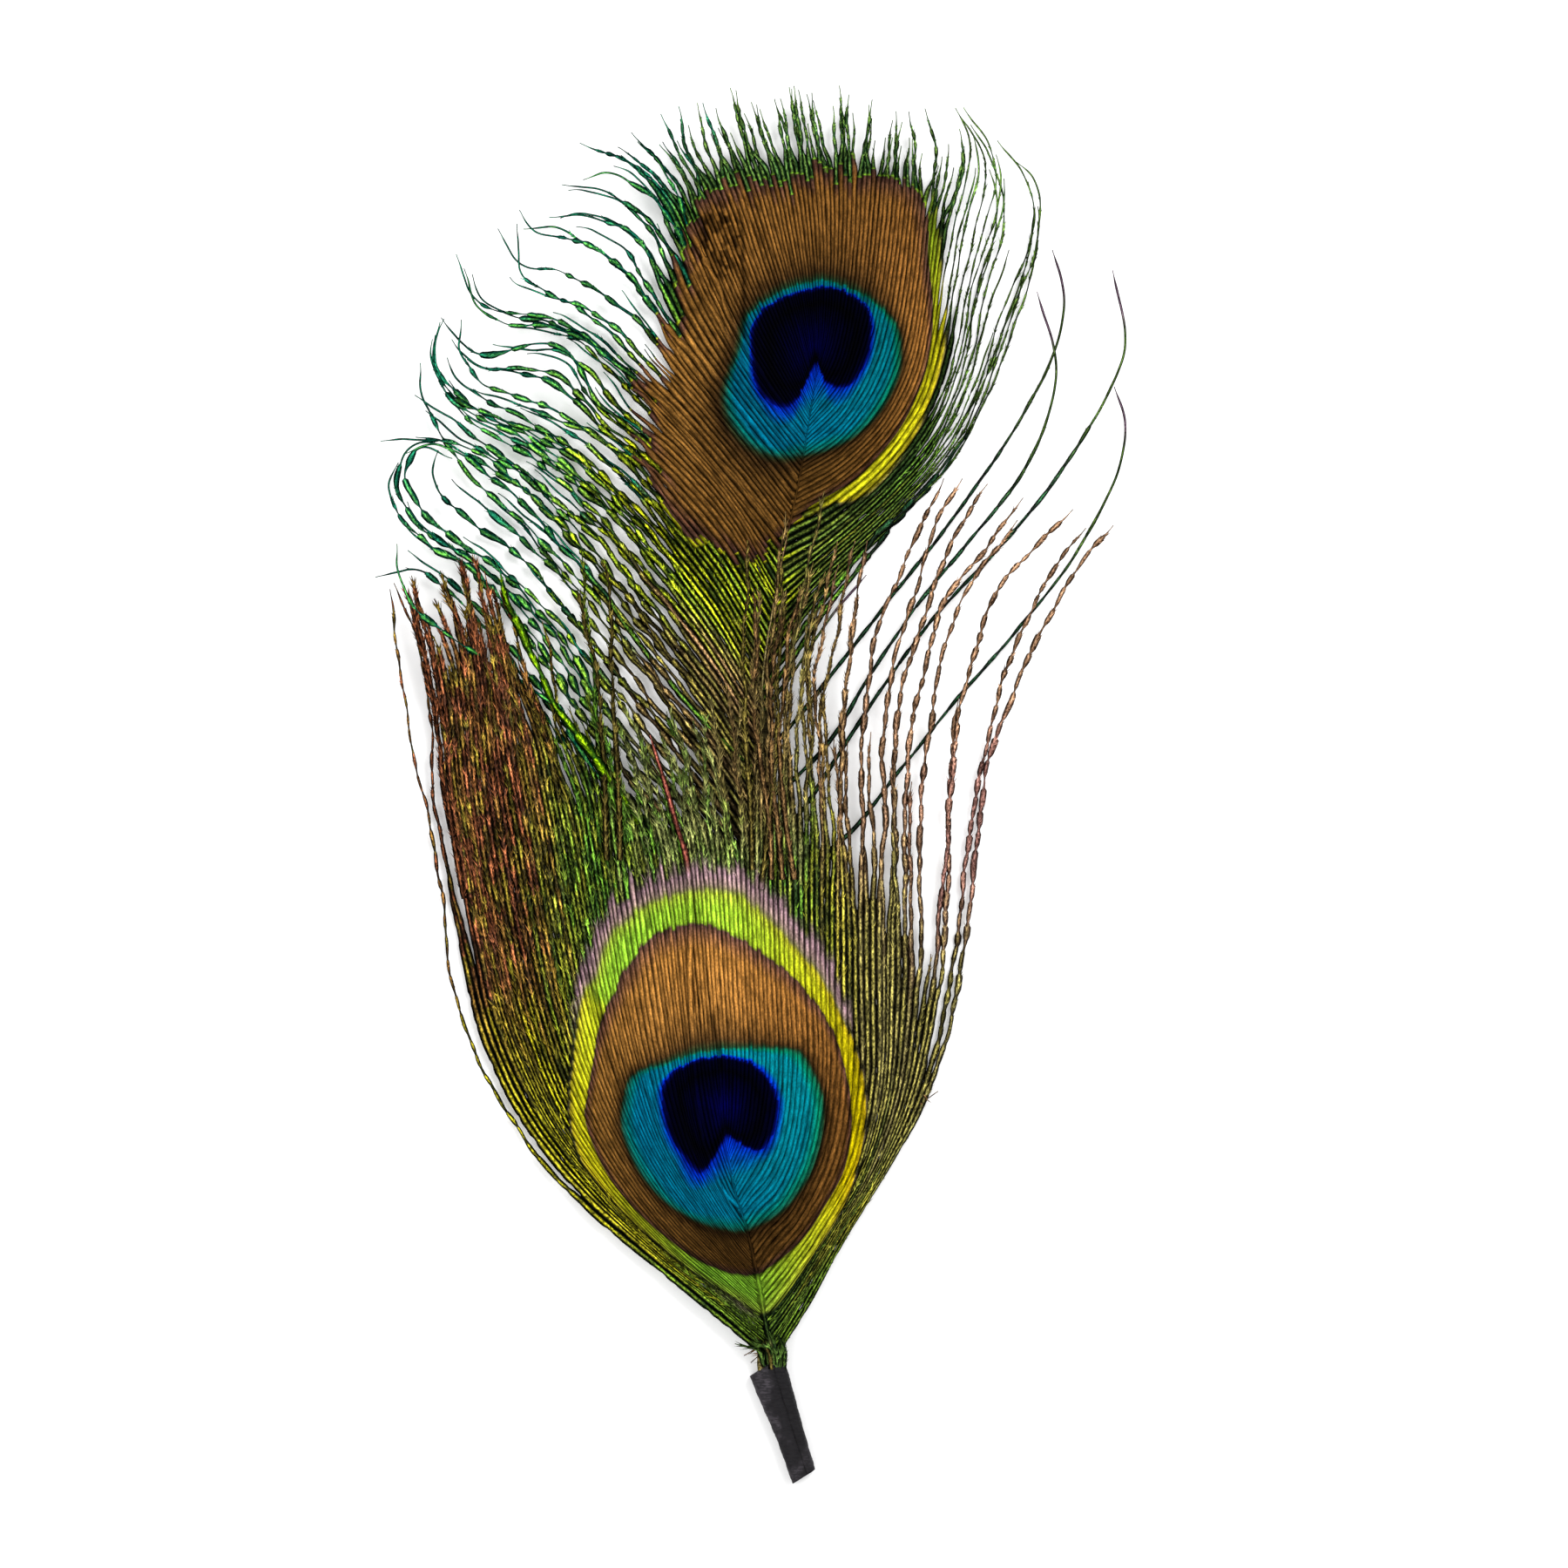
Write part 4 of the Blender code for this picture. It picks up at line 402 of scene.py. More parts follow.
FRONT_RING = (
    (-6.0, -11.0), (-2.0, -11.0), (1.0, -13.0), (4.0, -16.0), (7.0, -19.5), (9.0, -23.0), (11.0, -27.0),
    (12.0, -31.0), (12.1, -35.0), (11.4, -39.0), (9.8, -43.8), (6.7, -48.9), (2.2, -55.0),
    (-1.5, -53.4), (-6.0, -50.5), (-10.0, -47.3), (-13.0, -44.6), (-17.0, -40.0), (-18.3, -37.0),
    (-18.8, -33.0), (-18.5, -29.0), (-18.0, -24.6), (-17.3, -21.8), (-15.9, -19.6), (-14.8, -16.2),
    (-12.0, -13.3), (-9.0, -11.7),
)
FRONT_LILAC = (
    (-6.0, -8.2), (-2.0, -8.3), (2.0, -10.5), (5.5, -13.9), (8.6, -18.1), (10.3, -22.6), (11.6, -27.2),
    (12.5, -31.0), (12.5, -35.0), (11.7, -39.2), (10.1, -44.0), (7.0, -49.2), (2.2, -55.6),
    (-1.8, -54.0), (-6.3, -50.9), (-10.3, -47.6), (-13.4, -45.0), (-17.5, -40.2), (-18.7, -37.1),
    (-19.3, -33.0), (-19.1, -28.8), (-18.7, -24.2), (-18.3, -21.2), (-17.4, -18.2), (-16.1, -14.8),
    (-13.2, -11.2), (-9.8, -9.2),
)
REAR_EYE_CENTRE = (6.6, 45.6)
REAR_HEART = (
    (0.0, 46.0), (0.3, 42.0), (1.3, 39.8), (3.2, 38.8), (4.8, 39.5), (5.7, 41.3), (6.9, 43.4),
    (7.7, 41.7), (9.0, 40.9), (10.5, 41.2), (12.0, 43.5), (12.7, 46.5), (12.3, 49.0), (10.5, 50.6),
    (8.3, 51.3), (5.0, 50.8), (2.0, 49.5), (0.5, 47.8),
)
REAR_TURQUOISE = (
    (8.0, 51.9), (12.0, 50.3), (15.0, 47.5), (15.6, 45.0), (15.3, 42.0), (13.5, 38.5), (11.0, 36.0),
    (8.0, 34.5), (5.0, 33.8), (2.0, 34.0), (-0.5, 35.5), (-2.2, 38.0), (-2.5, 41.0), (-1.2, 44.5),
    (-0.4, 48.0), (2.0, 50.1), (5.0, 51.5),
)
REAR_BRONZE = (
    (-3.8, 60.6), (-1.0, 62.2), (3.0, 62.6), (6.0, 63.4), (10.0, 63.2), (14.0, 62.6), (17.4, 61.4),
    (18.5, 58.0), (18.5, 54.0), (18.9, 50.0), (18.8, 46.0), (18.0, 42.0), (16.0, 37.5), (13.5, 34.0),
    (10.5, 31.0), (7.0, 29.0), (4.0, 26.0), (1.5, 23.6), (-1.5, 23.2), (-4.8, 24.6), (-7.6, 26.6),
    (-9.7, 29.6), (-10.9, 33.4), (-11.6, 38.5), (-10.4, 43.5), (-8.7, 48.5), (-7.4, 53.0), (-6.0, 57.5),
)
REAR_RING = (
    (-4.1, 60.9), (-1.0, 62.5), (3.0, 62.9), (6.0, 63.7), (10.0, 63.5), (14.1, 62.9), (17.9, 61.8),
    (19.4, 58.5), (19.8, 54.4), (20.3, 50.0), (20.3, 46.0), (19.4, 41.4), (17.5, 36.4), (14.9, 32.4),
    (11.6, 29.4), (7.4, 28.3), (4.1, 25.6), (1.6, 23.3), (-1.7, 22.9), (-5.0, 24.3), (-7.9, 26.4),
    (-10.0, 29.4), (-11.2, 33.3), (-11.9, 38.5), (-10.7, 43.6), (-9.0, 48.7), (-7.7, 53.2),
    (-6.3, 57.7),
)
ZONE_FALL = 6.0           # mm beyond the last outline that add 1 to the zone
ZONE_TOP = 6.0
RAMP_TOP = 5.0            # the zone where the colours' ramps end
NARROWEST_BAND = 0.15
OUTLINE_POINTS = 400
# Zones over which one marking's painted light gives way to the next one's.
BRONZE_STARTS = (1.95, 2.1)
RING_STARTS = (2.9, 3.1)
BARBS_START = (3.9, 4.6)
THIN_BAND = (0.6, 1.4)    # width in mm from which a last band shows a little and fully


def srgb(red, green, blue):
    """Linear colour of an 8-bit sRGB one."""
    values = (c / 255 for c in (red, green, blue))
    return tuple(c / 12.92 if c <= 0.04045 else ((c + 0.055) / 1.055) ** 2.4 for c in values)


def mix_colours(first, second, share):
    return tuple(a + (b - a) * share for a, b in zip(first, second))


def eye_ramp(turquoise, rim, bronze, ring, ring_edge):
    """(zone, colour) from the heart to beyond the ring."""
    return (
        (0.0, srgb(0, 0, 52)), (0.4, srgb(0, 0, 26)), (0.7, srgb(0, 0, 5)), (0.93, srgb(0, 0, 20)),
        (1.0, srgb(0, 8, 96)), (1.05, srgb(0, 36, 170)), (1.18, srgb(0, 54, 174)),
        (1.32, srgb(0, 78, 152)), (1.46, turquoise), (1.84, turquoise), (1.95, rim),
        (2.02, srgb(30, 52, 30)), (2.08, srgb(62, 42, 20)),
        (2.26, mix_colours(bronze, srgb(54, 36, 16), 0.35)), (2.45, bronze), (2.8, bronze),
        (2.93, mix_colours(bronze, srgb(76, 48, 46), 0.7)), (2.99, srgb(70, 48, 42)),
        (3.03, mix_colours(ring, srgb(50, 50, 10), 0.5)), (3.1, ring), (3.5, ring), (3.86, ring_edge),
        (4.0, srgb(132, 124, 84)), (4.15, srgb(150, 126, 116)), (4.5, srgb(142, 112, 120)),
        (5.0, srgb(96, 84, 76)),
    )


COOL_RAMP = eye_ramp(
    srgb(0, 98, 132), srgb(2, 98, 96), srgb(126, 88, 38), srgb(140, 202, 54), srgb(152, 184, 58))
WARM_RAMP = eye_ramp(
    srgb(2, 114, 122), srgb(4, 118, 80), srgb(126, 82, 36), srgb(222, 200, 6), srgb(200, 168, 18))
# Warmth of the ring, the share of the warm ramp in it, by the angle round the eye, in degrees from
# +X, anticlockwise.
FRONT_RING_WARMTH = (
    (-180, 0.74), (-150, 0.8), (-120, 0.5), (-95, 0.0), (-80, 0.0), (-60, 0.5), (-30, 1.0), (0, 1.0),
    (30, 0.9), (60, 0.6), (85, 0.2), (120, 0.05), (137, 0.15), (141, 0.55), (180, 0.74),
)
REAR_RING_WARMTH = (
    (-180, 0.6), (-110, 0.7), (-60, 0.75), (-30, 0.8), (0, 0.75), (30, 0.5), (60, 0.1), (120, 0.0),
    (150, 0.1), (180, 0.6),
)
# The same for the turquoise and the bronze.
INNER_WARMTH = (
    (-180, 0.1), (-130, 0.2), (-90, 0.15), (-45, 0.6), (0, 0.8), (45, 0.8), (90, 0.5), (135, 0.4),
    (180, 0.1),
)
# Painted light and shade: brightness of the turquoise, of the bronze and of the ring by the same angle.
FRONT_PAINTED_LIGHT = (
    (-180, 0.84, 0.67, 0.69), (-150, 0.8, 0.58, 0.5), (-128, 0.75, 0.4, 0.28), (-90, 0.75, 0.18, 0.46),
    (-65, 0.8, 0.26, 0.62), (-40, 0.85, 0.38, 0.56), (0, 0.95, 0.52, 0.46), (45, 1.0, 1.0, 0.58),
    (90, 0.9, 1.4, 0.68), (135, 0.9, 1.18, 0.74), (180, 0.9, 0.7, 0.7),
)
REAR_PAINTED_LIGHT = (
    (-180, 0.6, 0.95, 0.5), (-135, 0.7, 0.65, 0.5), (-90, 0.76, 0.36, 0.5), (-45, 0.7, 0.55, 0.66),
    (0, 0.58, 1.0, 0.43), (45, 0.55, 0.82, 0.3), (90, 0.55, 0.6, 0.4), (135, 0.6, 0.78, 0.5),
    (180, 0.6, 0.95, 0.5),
)
# How far in mm the outer edges of the bronze and of the last marking are frayed, by the same angle.
FRONT_RAGGED = ((-180, 0.12, 0.8), (180, 0.12, 0.8))
REAR_RAGGED = (
    (-180, 1.2, 1.2), (-140, 1.4, 1.4), (-110, 0.7, 0.7), (-95, 0.15, 0.3), (60, 0.1, 0.4),
    (75, 0.6, 0.6), (90, 0.8, 0.8), (120, 1.0, 1.0), (180, 1.2, 1.2),
)
# Lines along which neighbouring barbs have come apart, drawn as painted shade in the gap: (how dark, (x, y)
# of its points).
FRONT_SPLITS = (
    (0.9, ((-4.0, -24.0), (-3.4, -26.6), (-3.0, -29.4))),
    (0.45, ((-5.2, -13.0), (-4.8, -18.0), (-4.0, -24.0))),
    (0.8, ((-12.3, -8.6), (-11.2, -12.0), (-10.2, -14.8))),
    (0.6, ((-9.9, -9.6), (-9.2, -12.6), (-8.6, -15.6))),
    (0.6, ((-6.1, -9.6), (-5.8, -12.0), (-5.6, -14.6))),
    (0.55, ((-13.6, -28.0), (-11.8, -30.6), (-9.2, -34.3), (-6.4, -38.0))),
    (0.4, ((-15.8, -24.0), (-14.6, -28.4), (-12.8, -32.6))),
    (0.85, ((-17.8, -17.6), (-16.9, -19.8), (-15.6, -22.8), (-15.2, -24.4))),
)
REAR_SPLITS = (
    (0.85, ((-0.8, 57.8), (-0.7, 52.0), (-0.6, 46.0))),
    (0.6, ((-4.9, 42.6), (-3.6, 39.2), (-2.2, 35.6))),
    (0.5, ((-7.6, 42.2), (-5.6, 36.4), (-3.0, 30.4))),
    (0.5, ((-4.6, 58.0), (-4.4, 53.0), (-3.6, 48.0))),
)
SPLIT_WIDTH = 0.22
# Power by the same angle that draws the heart's blue rim in: small where the rim is thin.
RIM_POWER = ((-180, 0.42), (-130, 0.5), (-112, 0.95), (-70, 0.95), (-50, 0.5), (0, 0.42), (180, 0.42))

# --- Single barbs that lie out of the fan -----------------------------------------------------------
# (y of the root, or None for one that starts among the other barbs, style, colours, route), with the
# colours' names as they are further down.
FRONT_SINGLES = (
    (-43.8, "broken", "REDDISH", ((-2.75, -42.0, 3.12), (-3.95, -39.1, 3.12), (-4.9, -36.0, 3.12),
        (-5.4, -32.0, 3.12), (-5.8, -27.5, 3.1), (-6.2, -20.8, 3.05), (-6.1, -13.3, 3.0),
        (-6.5, -8.0, 3.1), (-7.5, -4.6, 3.2), (-8.9, 0.3, 3.35), (-10.3, 4.9, 3.5))),
    (None, "tuft", "UMBER", ((17.2, -33.7, 0.7), (17.9, -33.1, 0.9), (18.9, -32.5, 1.1))),
    (None, "tuft", "UMBER", ((17.9, -32.2, 0.7), (18.3, -32.6, 0.9), (18.7, -32.9, 1.1))),
    (None, "tuft", "UMBER", ((2.1, -58.4, 1.7), (1.0, -58.4, 1.6), (-0.2, -58.0, 1.4))),
    (None, "tuft", "UMBER", ((2.2, -58.8, 1.6), (1.2, -59.0, 1.5), (0.2, -58.9, 1.3))),
    (None, "tuft", "BARK", ((2.3, -59.3, 1.6), (1.5, -59.6, 1.5), (0.7, -59.7, 1.9))),
    (None, "tuft", "DARK_GREEN", ((2.6, -60.3, 1.9), (2.3, -58.6, 2.3), (1.5, -56.6, 2.6))),
    (None, "tuft", "DARK_GREEN", ((3.0, -60.2, 1.9), (2.7, -58.4, 2.2), (2.6, -56.4, 2.5))),
    (None, "tuft", "DARK_GREEN", ((1.9, -60.1, 1.8), (1.7, -58.6, 2.0), (0.4, -57.2, 2.0))),
    (None, "brown", "BARK", ((0.3, -9.0, 2.9), (0.0, -2.0, 2.8), (-0.5, 6.0, 2.8), (-0.3, 14.0, 2.8),
        (0.1, 25.0, 2.9))),
    (None, "brown", "UMBER", ((2.2, -10.0, 2.9), (2.0, -4.0, 2.8), (1.0, 3.0, 2.7), (0.6, 10.0, 2.7),
        (0.9, 20.0, 2.8))),
    (None, "brown", "UMBER", ((3.4, -10.0, 2.8), (2.8, -4.0, 2.7), (2.1, 3.0, 2.6), (2.6, 10.0, 2.7),
        (3.6, 18.0, 2.8))),
    (None, "brown", "UMBER", ((4.6, -10.0, 2.7), (3.6, -3.0, 2.6), (3.0, 5.0, 2.5), (4.0, 12.0, 2.6),
        (5.8, 20.0, 2.8))),
    (None, "brown", "BARK", ((1.2, -11.0, 2.9), (1.8, -5.0, 2.8), (2.6, 2.0, 2.6), (3.0, 9.0, 2.6),
        (3.2, 23.0, 2.7))),
    (None, "tuft", "BARK", ((-13.4, -8.0, 2.7), (-13.6, 0.0, 2.8), (-14.0, 9.0, 2.9),
        (-13.8, 16.0, 3.0), (-13.9, 23.0, 3.2))),
    (None, "woven", "RUST", ((-29.6, -12.0, 1.2), (-31.2, -2.0, 1.4), (-32.2, 5.0, 1.8),
        (-33.3, 12.0, 2.3), (-35.0, 19.5, 2.8))),
    (None, "woven", "RUST", ((-29.2, -11.0, 1.2), (-30.8, -1.0, 1.5), (-31.7, 7.0, 1.9),
        (-32.8, 14.0, 2.4), (-34.2, 20.5, 2.8))),
    (None, "woven", "RUST", ((-29.8, -10.0, 1.2), (-31.6, -1.0, 1.3), (-32.8, 8.0, 1.7),
        (-34.0, 15.0, 2.3), (-36.1, 20.6, 2.8))),
    (None, "tuft", "BARK", ((-14.8, -8.0, 2.7), (-15.0, 0.0, 2.8), (-15.3, 8.0, 2.9),
        (-15.6, 14.0, 3.0), (-16.0, 20.0, 3.1))),
    (None, "tuft", "DARK_GREEN", ((3.4, -60.9, 1.8), (3.6, -59.0, 2.0), (4.4, -56.6, 2.0))),
    (None, "tuft", "DARK_GREEN", ((3.1, -60.8, 1.9), (3.2, -59.0, 2.2), (3.7, -56.6, 2.3))),
    (None, "tuft", "DARK_GREEN", ((1.5, -60.3, 1.7), (1.0, -58.8, 1.8), (-0.3, -57.0, 1.8))),
    (None, "tuft", "BARK", ((2.3, -60.6, 1.9), (2.0, -58.8, 2.2), (1.0, -57.0, 2.3))),
    (None, "tuft", "DARK_GREEN", ((2.8, -60.8, 1.9), (2.9, -59.0, 2.3), (3.2, -57.0, 2.5))),
)
REAR_SINGLES = (
    (-18.6, "broad", "LIME", ((-4.0, -13.2, 0.95), (-10.2, -5.8, 1.3), (-15.0, 0.9, 2.5),
        (-17.0, 4.1, 3.4), (-18.9, 6.4, 3.6), (-20.1, 8.0, 3.7), (-21.9, 12.4, 3.7), (-24.2, 16.6, 3.8),
        (-25.4, 19.2, 3.8), (-25.8, 21.4, 3.9))),
    (8.4, "leafy", "INK", ((4.6, 13.2, 0.9), (8.2, 18.4, 0.75), (12.4, 23.4, 0.6), (16.2, 28.0, 0.5),
        (19.6, 31.9, 0.45), (22.6, 35.6, 0.45))),
    (9.6, "leafy", "INK", ((4.4, 14.4, 0.95), (8.0, 19.4, 0.8), (12.4, 24.4, 0.65), (16.4, 28.8, 0.55),
        (20.0, 32.6, 0.5), (23.2, 37.0, 0.45))),
    (-19.0, "leafy", "EMERALD", ((-4.0, -13.6, 0.95), (-10.5, -6.2, 1.3), (-15.6, 0.6, 2.5),
        (-17.7, 3.7, 3.3), (-19.6, 7.4, 3.5), (-21.6, 11.4, 3.6), (-23.6, 15.4, 3.6),
        (-25.2, 18.6, 3.7), (-26.3, 22.6, 3.9))),
    (-17.0, "leafy", "EMERALD", ((-4.0, -11.8, 0.95), (-10.4, -4.4, 1.1), (-16.0, 2.6, 1.6),
        (-21.0, 8.6, 1.2), (-26.0, 11.6, 1.7), (-30.2, 14.4, 3.2), (-34.5, 18.4, 3.6),
        (-36.0, 21.4, 3.7), (-36.3, 24.6, 3.9))),
    (0.5, "leafy", "EMERALD", ((-4.0, 5.6, 0.9), (-9.6, 12.0, 0.85), (-14.6, 18.6, 0.9),
        (-19.0, 24.2, 1.2), (-23.5, 29.0, 1.9), (-28.0, 32.6, 2.6), (-32.0, 34.6, 3.2),
        (-35.6, 34.0, 3.8))),
    (24.8, "leafy", "EMERALD", ((-1.0, 31.0, 0.95), (-6.2, 36.5, 0.7), (-11.0, 41.0, 0.8),
        (-15.0, 44.0, 1.3), (-18.5, 46.3, 1.9), (-22.0, 47.4, 2.4), (-25.5, 47.6, 2.9),
        (-28.4, 49.6, 3.4), (-29.4, 53.0, 3.9))),
    (30.4, "leafy", "EMERALD", ((0.6, 35.6, 0.95), (-3.6, 41.0, 0.6), (-7.6, 46.0, 0.5),
        (-10.4, 49.8, 0.9), (-13.0, 53.0, 1.5), (-15.8, 55.0, 2.2), (-19.8, 56.8, 3.3),
        (-23.3, 56.6, 4.3))),
    (35.3, "leafy", "EMERALD", ((1.6, 40.0, 0.95), (-1.8, 45.2, 0.6), (-4.6, 50.6, 0.5),
        (-7.0, 55.6, 0.9), (-9.4, 59.8, 1.8), (-12.3, 62.2, 2.6), (-15.0, 63.0, 3.2),
        (-17.3, 62.5, 3.8))),
    (36.2, "leafy", "EMERALD", ((2.4, 40.6, 0.95), (-0.9, 46.0, 0.6), (-3.7, 51.5, 0.5),
        (-5.9, 56.5, 0.8), (-7.5, 60.6, 1.5), (-9.3, 64.0, 2.4), (-11.4, 66.3, 3.2))),
)

# --- Styles of barbs ------------------------------------------------------------------------------------
# width: of a bead; thread: of the bare shaft; bead: length of one; waist: share of the width between
# beads; swell, blunt: where in a bead it gets its full width and where that ends; tip: length of the
# bare tip; blades: barbules in a mm; reach: their length; locks: groups between two strands; gather:
# how far neighbours gather in them; full: share of the barbs that run to the strand's end; least, most:
# where the others end, as shares of it; sway: how far a barb strays from its route; curl, lean: how far
# the tips stray, and how far to the left; pitch: between hooked barbs; cover: share that they cover;
# give: share of its length over which a barb comes free of its neighbours.
Style = namedtuple(
    "Style",
    "width thread bead waist swell blunt tip blades reach "
    "locks gather full least most sway curl lean pitch cover give")
STYLES = {
    "stray": Style(
        0.50, 0.24, 2.2, 0.60, 0.3, 0.75, 3.0, 3.0, 0.7,
        1, 0.95, 0.5, 0.5, 0.85, 0.2, 0.3, 0, 0.55, 1, 0.25),
    "woven": Style(
        0.60, 0.26, 1.3, 0.80, 0.3, 0.85, 0.8, 9.0, 1.3,
        3, 0.2, 0.6, 0.92, 0.99, 0.25, 0.7, 0.3, 0.5, 1, 0.1),
    "green": Style(
        0.54, 0.24, 1.5, 0.65, 0.3, 0.75, 2.5, 9.0, 1.1,
        2, 0.25, 0.2, 0.7, 0.95, 0.3, 0.8, 2.2, 0.5, 1, 0.15),
    "short": Style(
        0.46, 0.22, 1.1, 0.60, 0.3, 0.80, 0.8, 12.0, 1.3,
        2, 0.2, 0.2, 0.78, 0.98, 0.4, 0.9, 0.6, 0.5, 1, 0.12),
    "brown": Style(
        0.54, 0.22, 1.8, 0.60, 0.3, 0.88, 1.8, 10.0, 1.1,
        2, 0.5, 0.35, 0.6, 0.9, 0.3, 0.6, 0, 0.55, 1, 0.2),
    "tuft": Style(
        0.50, 0.24, 1.5, 0.70, 0.3, 0.75, 1.0, 12.0, 1.3,
        2, 0.3, 0.1, 0.6, 0.86, 0.3, 0.6, 1.5, 0.55, 1, 0.2),
    "tan": Style(
        0.76, 0.22, 2.2, 0.36, 0.4, 0.86, 2.0, 9.0, 0.9,
        1, 0.8, 0.25, 0.42, 0.76, 0.2, 0.5, 0, 0.56, 1, 0.15),
    "open": Style(
        0.96, 0.22, 3.3, 0.24, 0.66, 0.86, 6.0, 9.0, 0.8,
        2, 0.5, 0.4, 0.5, 0.85, 0.3, 0.6, 0, 0.72, 0.9, 0.2),
    "leafy": Style(
        0.86, 0.22, 3.2, 0.26, 0.66, 0.86, 7.0, 10.0, 0.8,
        2, 0.45, 0.4, 0.5, 0.85, 0.28, 0.6, 0, 0.58, 1, 0.15),
    "sparse": Style(
        0.74, 0.20, 2.5, 0.24, 0.74, 0.86, 7.0, 8.0, 0.7,
        1, 0.3, 0.4, 0.5, 0.8, 0.28, 0.6, 0, 0.64, 1, 0.1),
    "fringe": Style(
        0.56, 0.20, 1.4, 0.50, 0.4, 0.80, 2.2, 9.0, 0.6,
        6, 0.0, 0.7, 0.86, 1.0, 0.24, 0.7, 0, 0.5, 1, 0.1),
    "wisp": Style(
        0.30, 0.20, 3.0, 0.60, 0.3, 0.80, 6.0, 2.0, 0.8,
        1, 0.2, 0.4, 0.62, 0.92, 0.15, 0.4, 0, 0.66, 0.95, 0.15),
    "lone": Style(
        0.46, 0.27, 2.4, 0.85, 0.3, 0.80, 18.0, 6.0, 0.6,
        1, 0, 1, 1, 1, 0.06, 0, 0, 1, 1, 0.25),
    "broken": Style(
        0.80, 0.60, 6.0, 0.90, 0.3, 0.80, 0.5, 0.5, 0.5,
        1, 0, 1, 1, 1, 0.03, 0, 0, 1, 1, 0.2),
    "broad": Style(
        1.25, 0.40, 3.4, 0.66, 0.5, 0.90, 1.0, 9.0, 1.0,
        1, 0, 1, 1, 1, 0.2, 0, 0, 1, 1, 0.2),
}


# --- Curves and fields ----------------------------------------------------------------------------
def smooth_path(route, steps):
    """A smooth curve through the route's points, read at steps + 1 places an equal way apart."""
    p = np.array(route, float)
    p = np.vstack([2 * p[0] - p[1], p, 2 * p[-1] - p[-2]])
    t = np.linspace(0, 1, 16, endpoint=False)[:, None]
    spans = [
        0.5 * (2 * b + (c - a) * t + (2 * a - 5 * b + 4 * c - d) * t**2 + (3 * b - a - 3 * c + d) * t**3)
        for a, b, c, d in zip(p, p[1:], p[2:], p[3:])
    ]
    return resample(np.vstack([*spans, p[-2:-1]]), steps)


def resample(path, steps):
    """The path's columns at steps + 1 places an equal way apart."""
    along = lengths(path)
    at = np.linspace(0, along[-1], steps + 1)
    return np.column_stack([np.interp(at, along, column) for column in path.T])


def lengths(path):
    """The way along the path to each of its points."""
    return np.concatenate([[0], np.cumsum(np.linalg.norm(np.diff(path[:, :3], axis=0), axis=1))])


def ease(value, low, high):
    """0 up to low, 1 from high on, and smooth between them."""
    x = np.clip((value - low) / (high - low), 0, 1)
    return x * x * (3 - 2 * x)


def mix(first, second, share):
    return first + (second - first) * share


def wander(rng, along, wavelength):
    """A smooth random curve along a barb, mostly within 1 of zero."""
    total = np.zeros_like(along)
    for octave in WANDER_OCTAVES:
        phase = rng.uniform(0, 2 * np.pi)
        total += math.sqrt(octave) * np.sin(2 * np.pi * along / (wavelength * octave) + phase)
    return total / WANDER_SCALE


def flecks(rng, along):
    """Light and dark lengths along a barb, each of its own brightness."""
    count = int(along[-1] / FLECK_LENGTHS[0]) + 2
    ends = np.cumsum(rng.uniform(*FLECK_LENGTHS, count))
    is_bright = rng.uniform(0, 1, count + 1) < BRIGHT_FLECKS
    bright = rng.uniform(*BRIGHT_LEVELS, count + 1)
    dark = rng.uniform(*DARK_LEVELS, count + 1)
    return np.where(is_bright, bright, dark)[np.searchsorted(ends, along)]


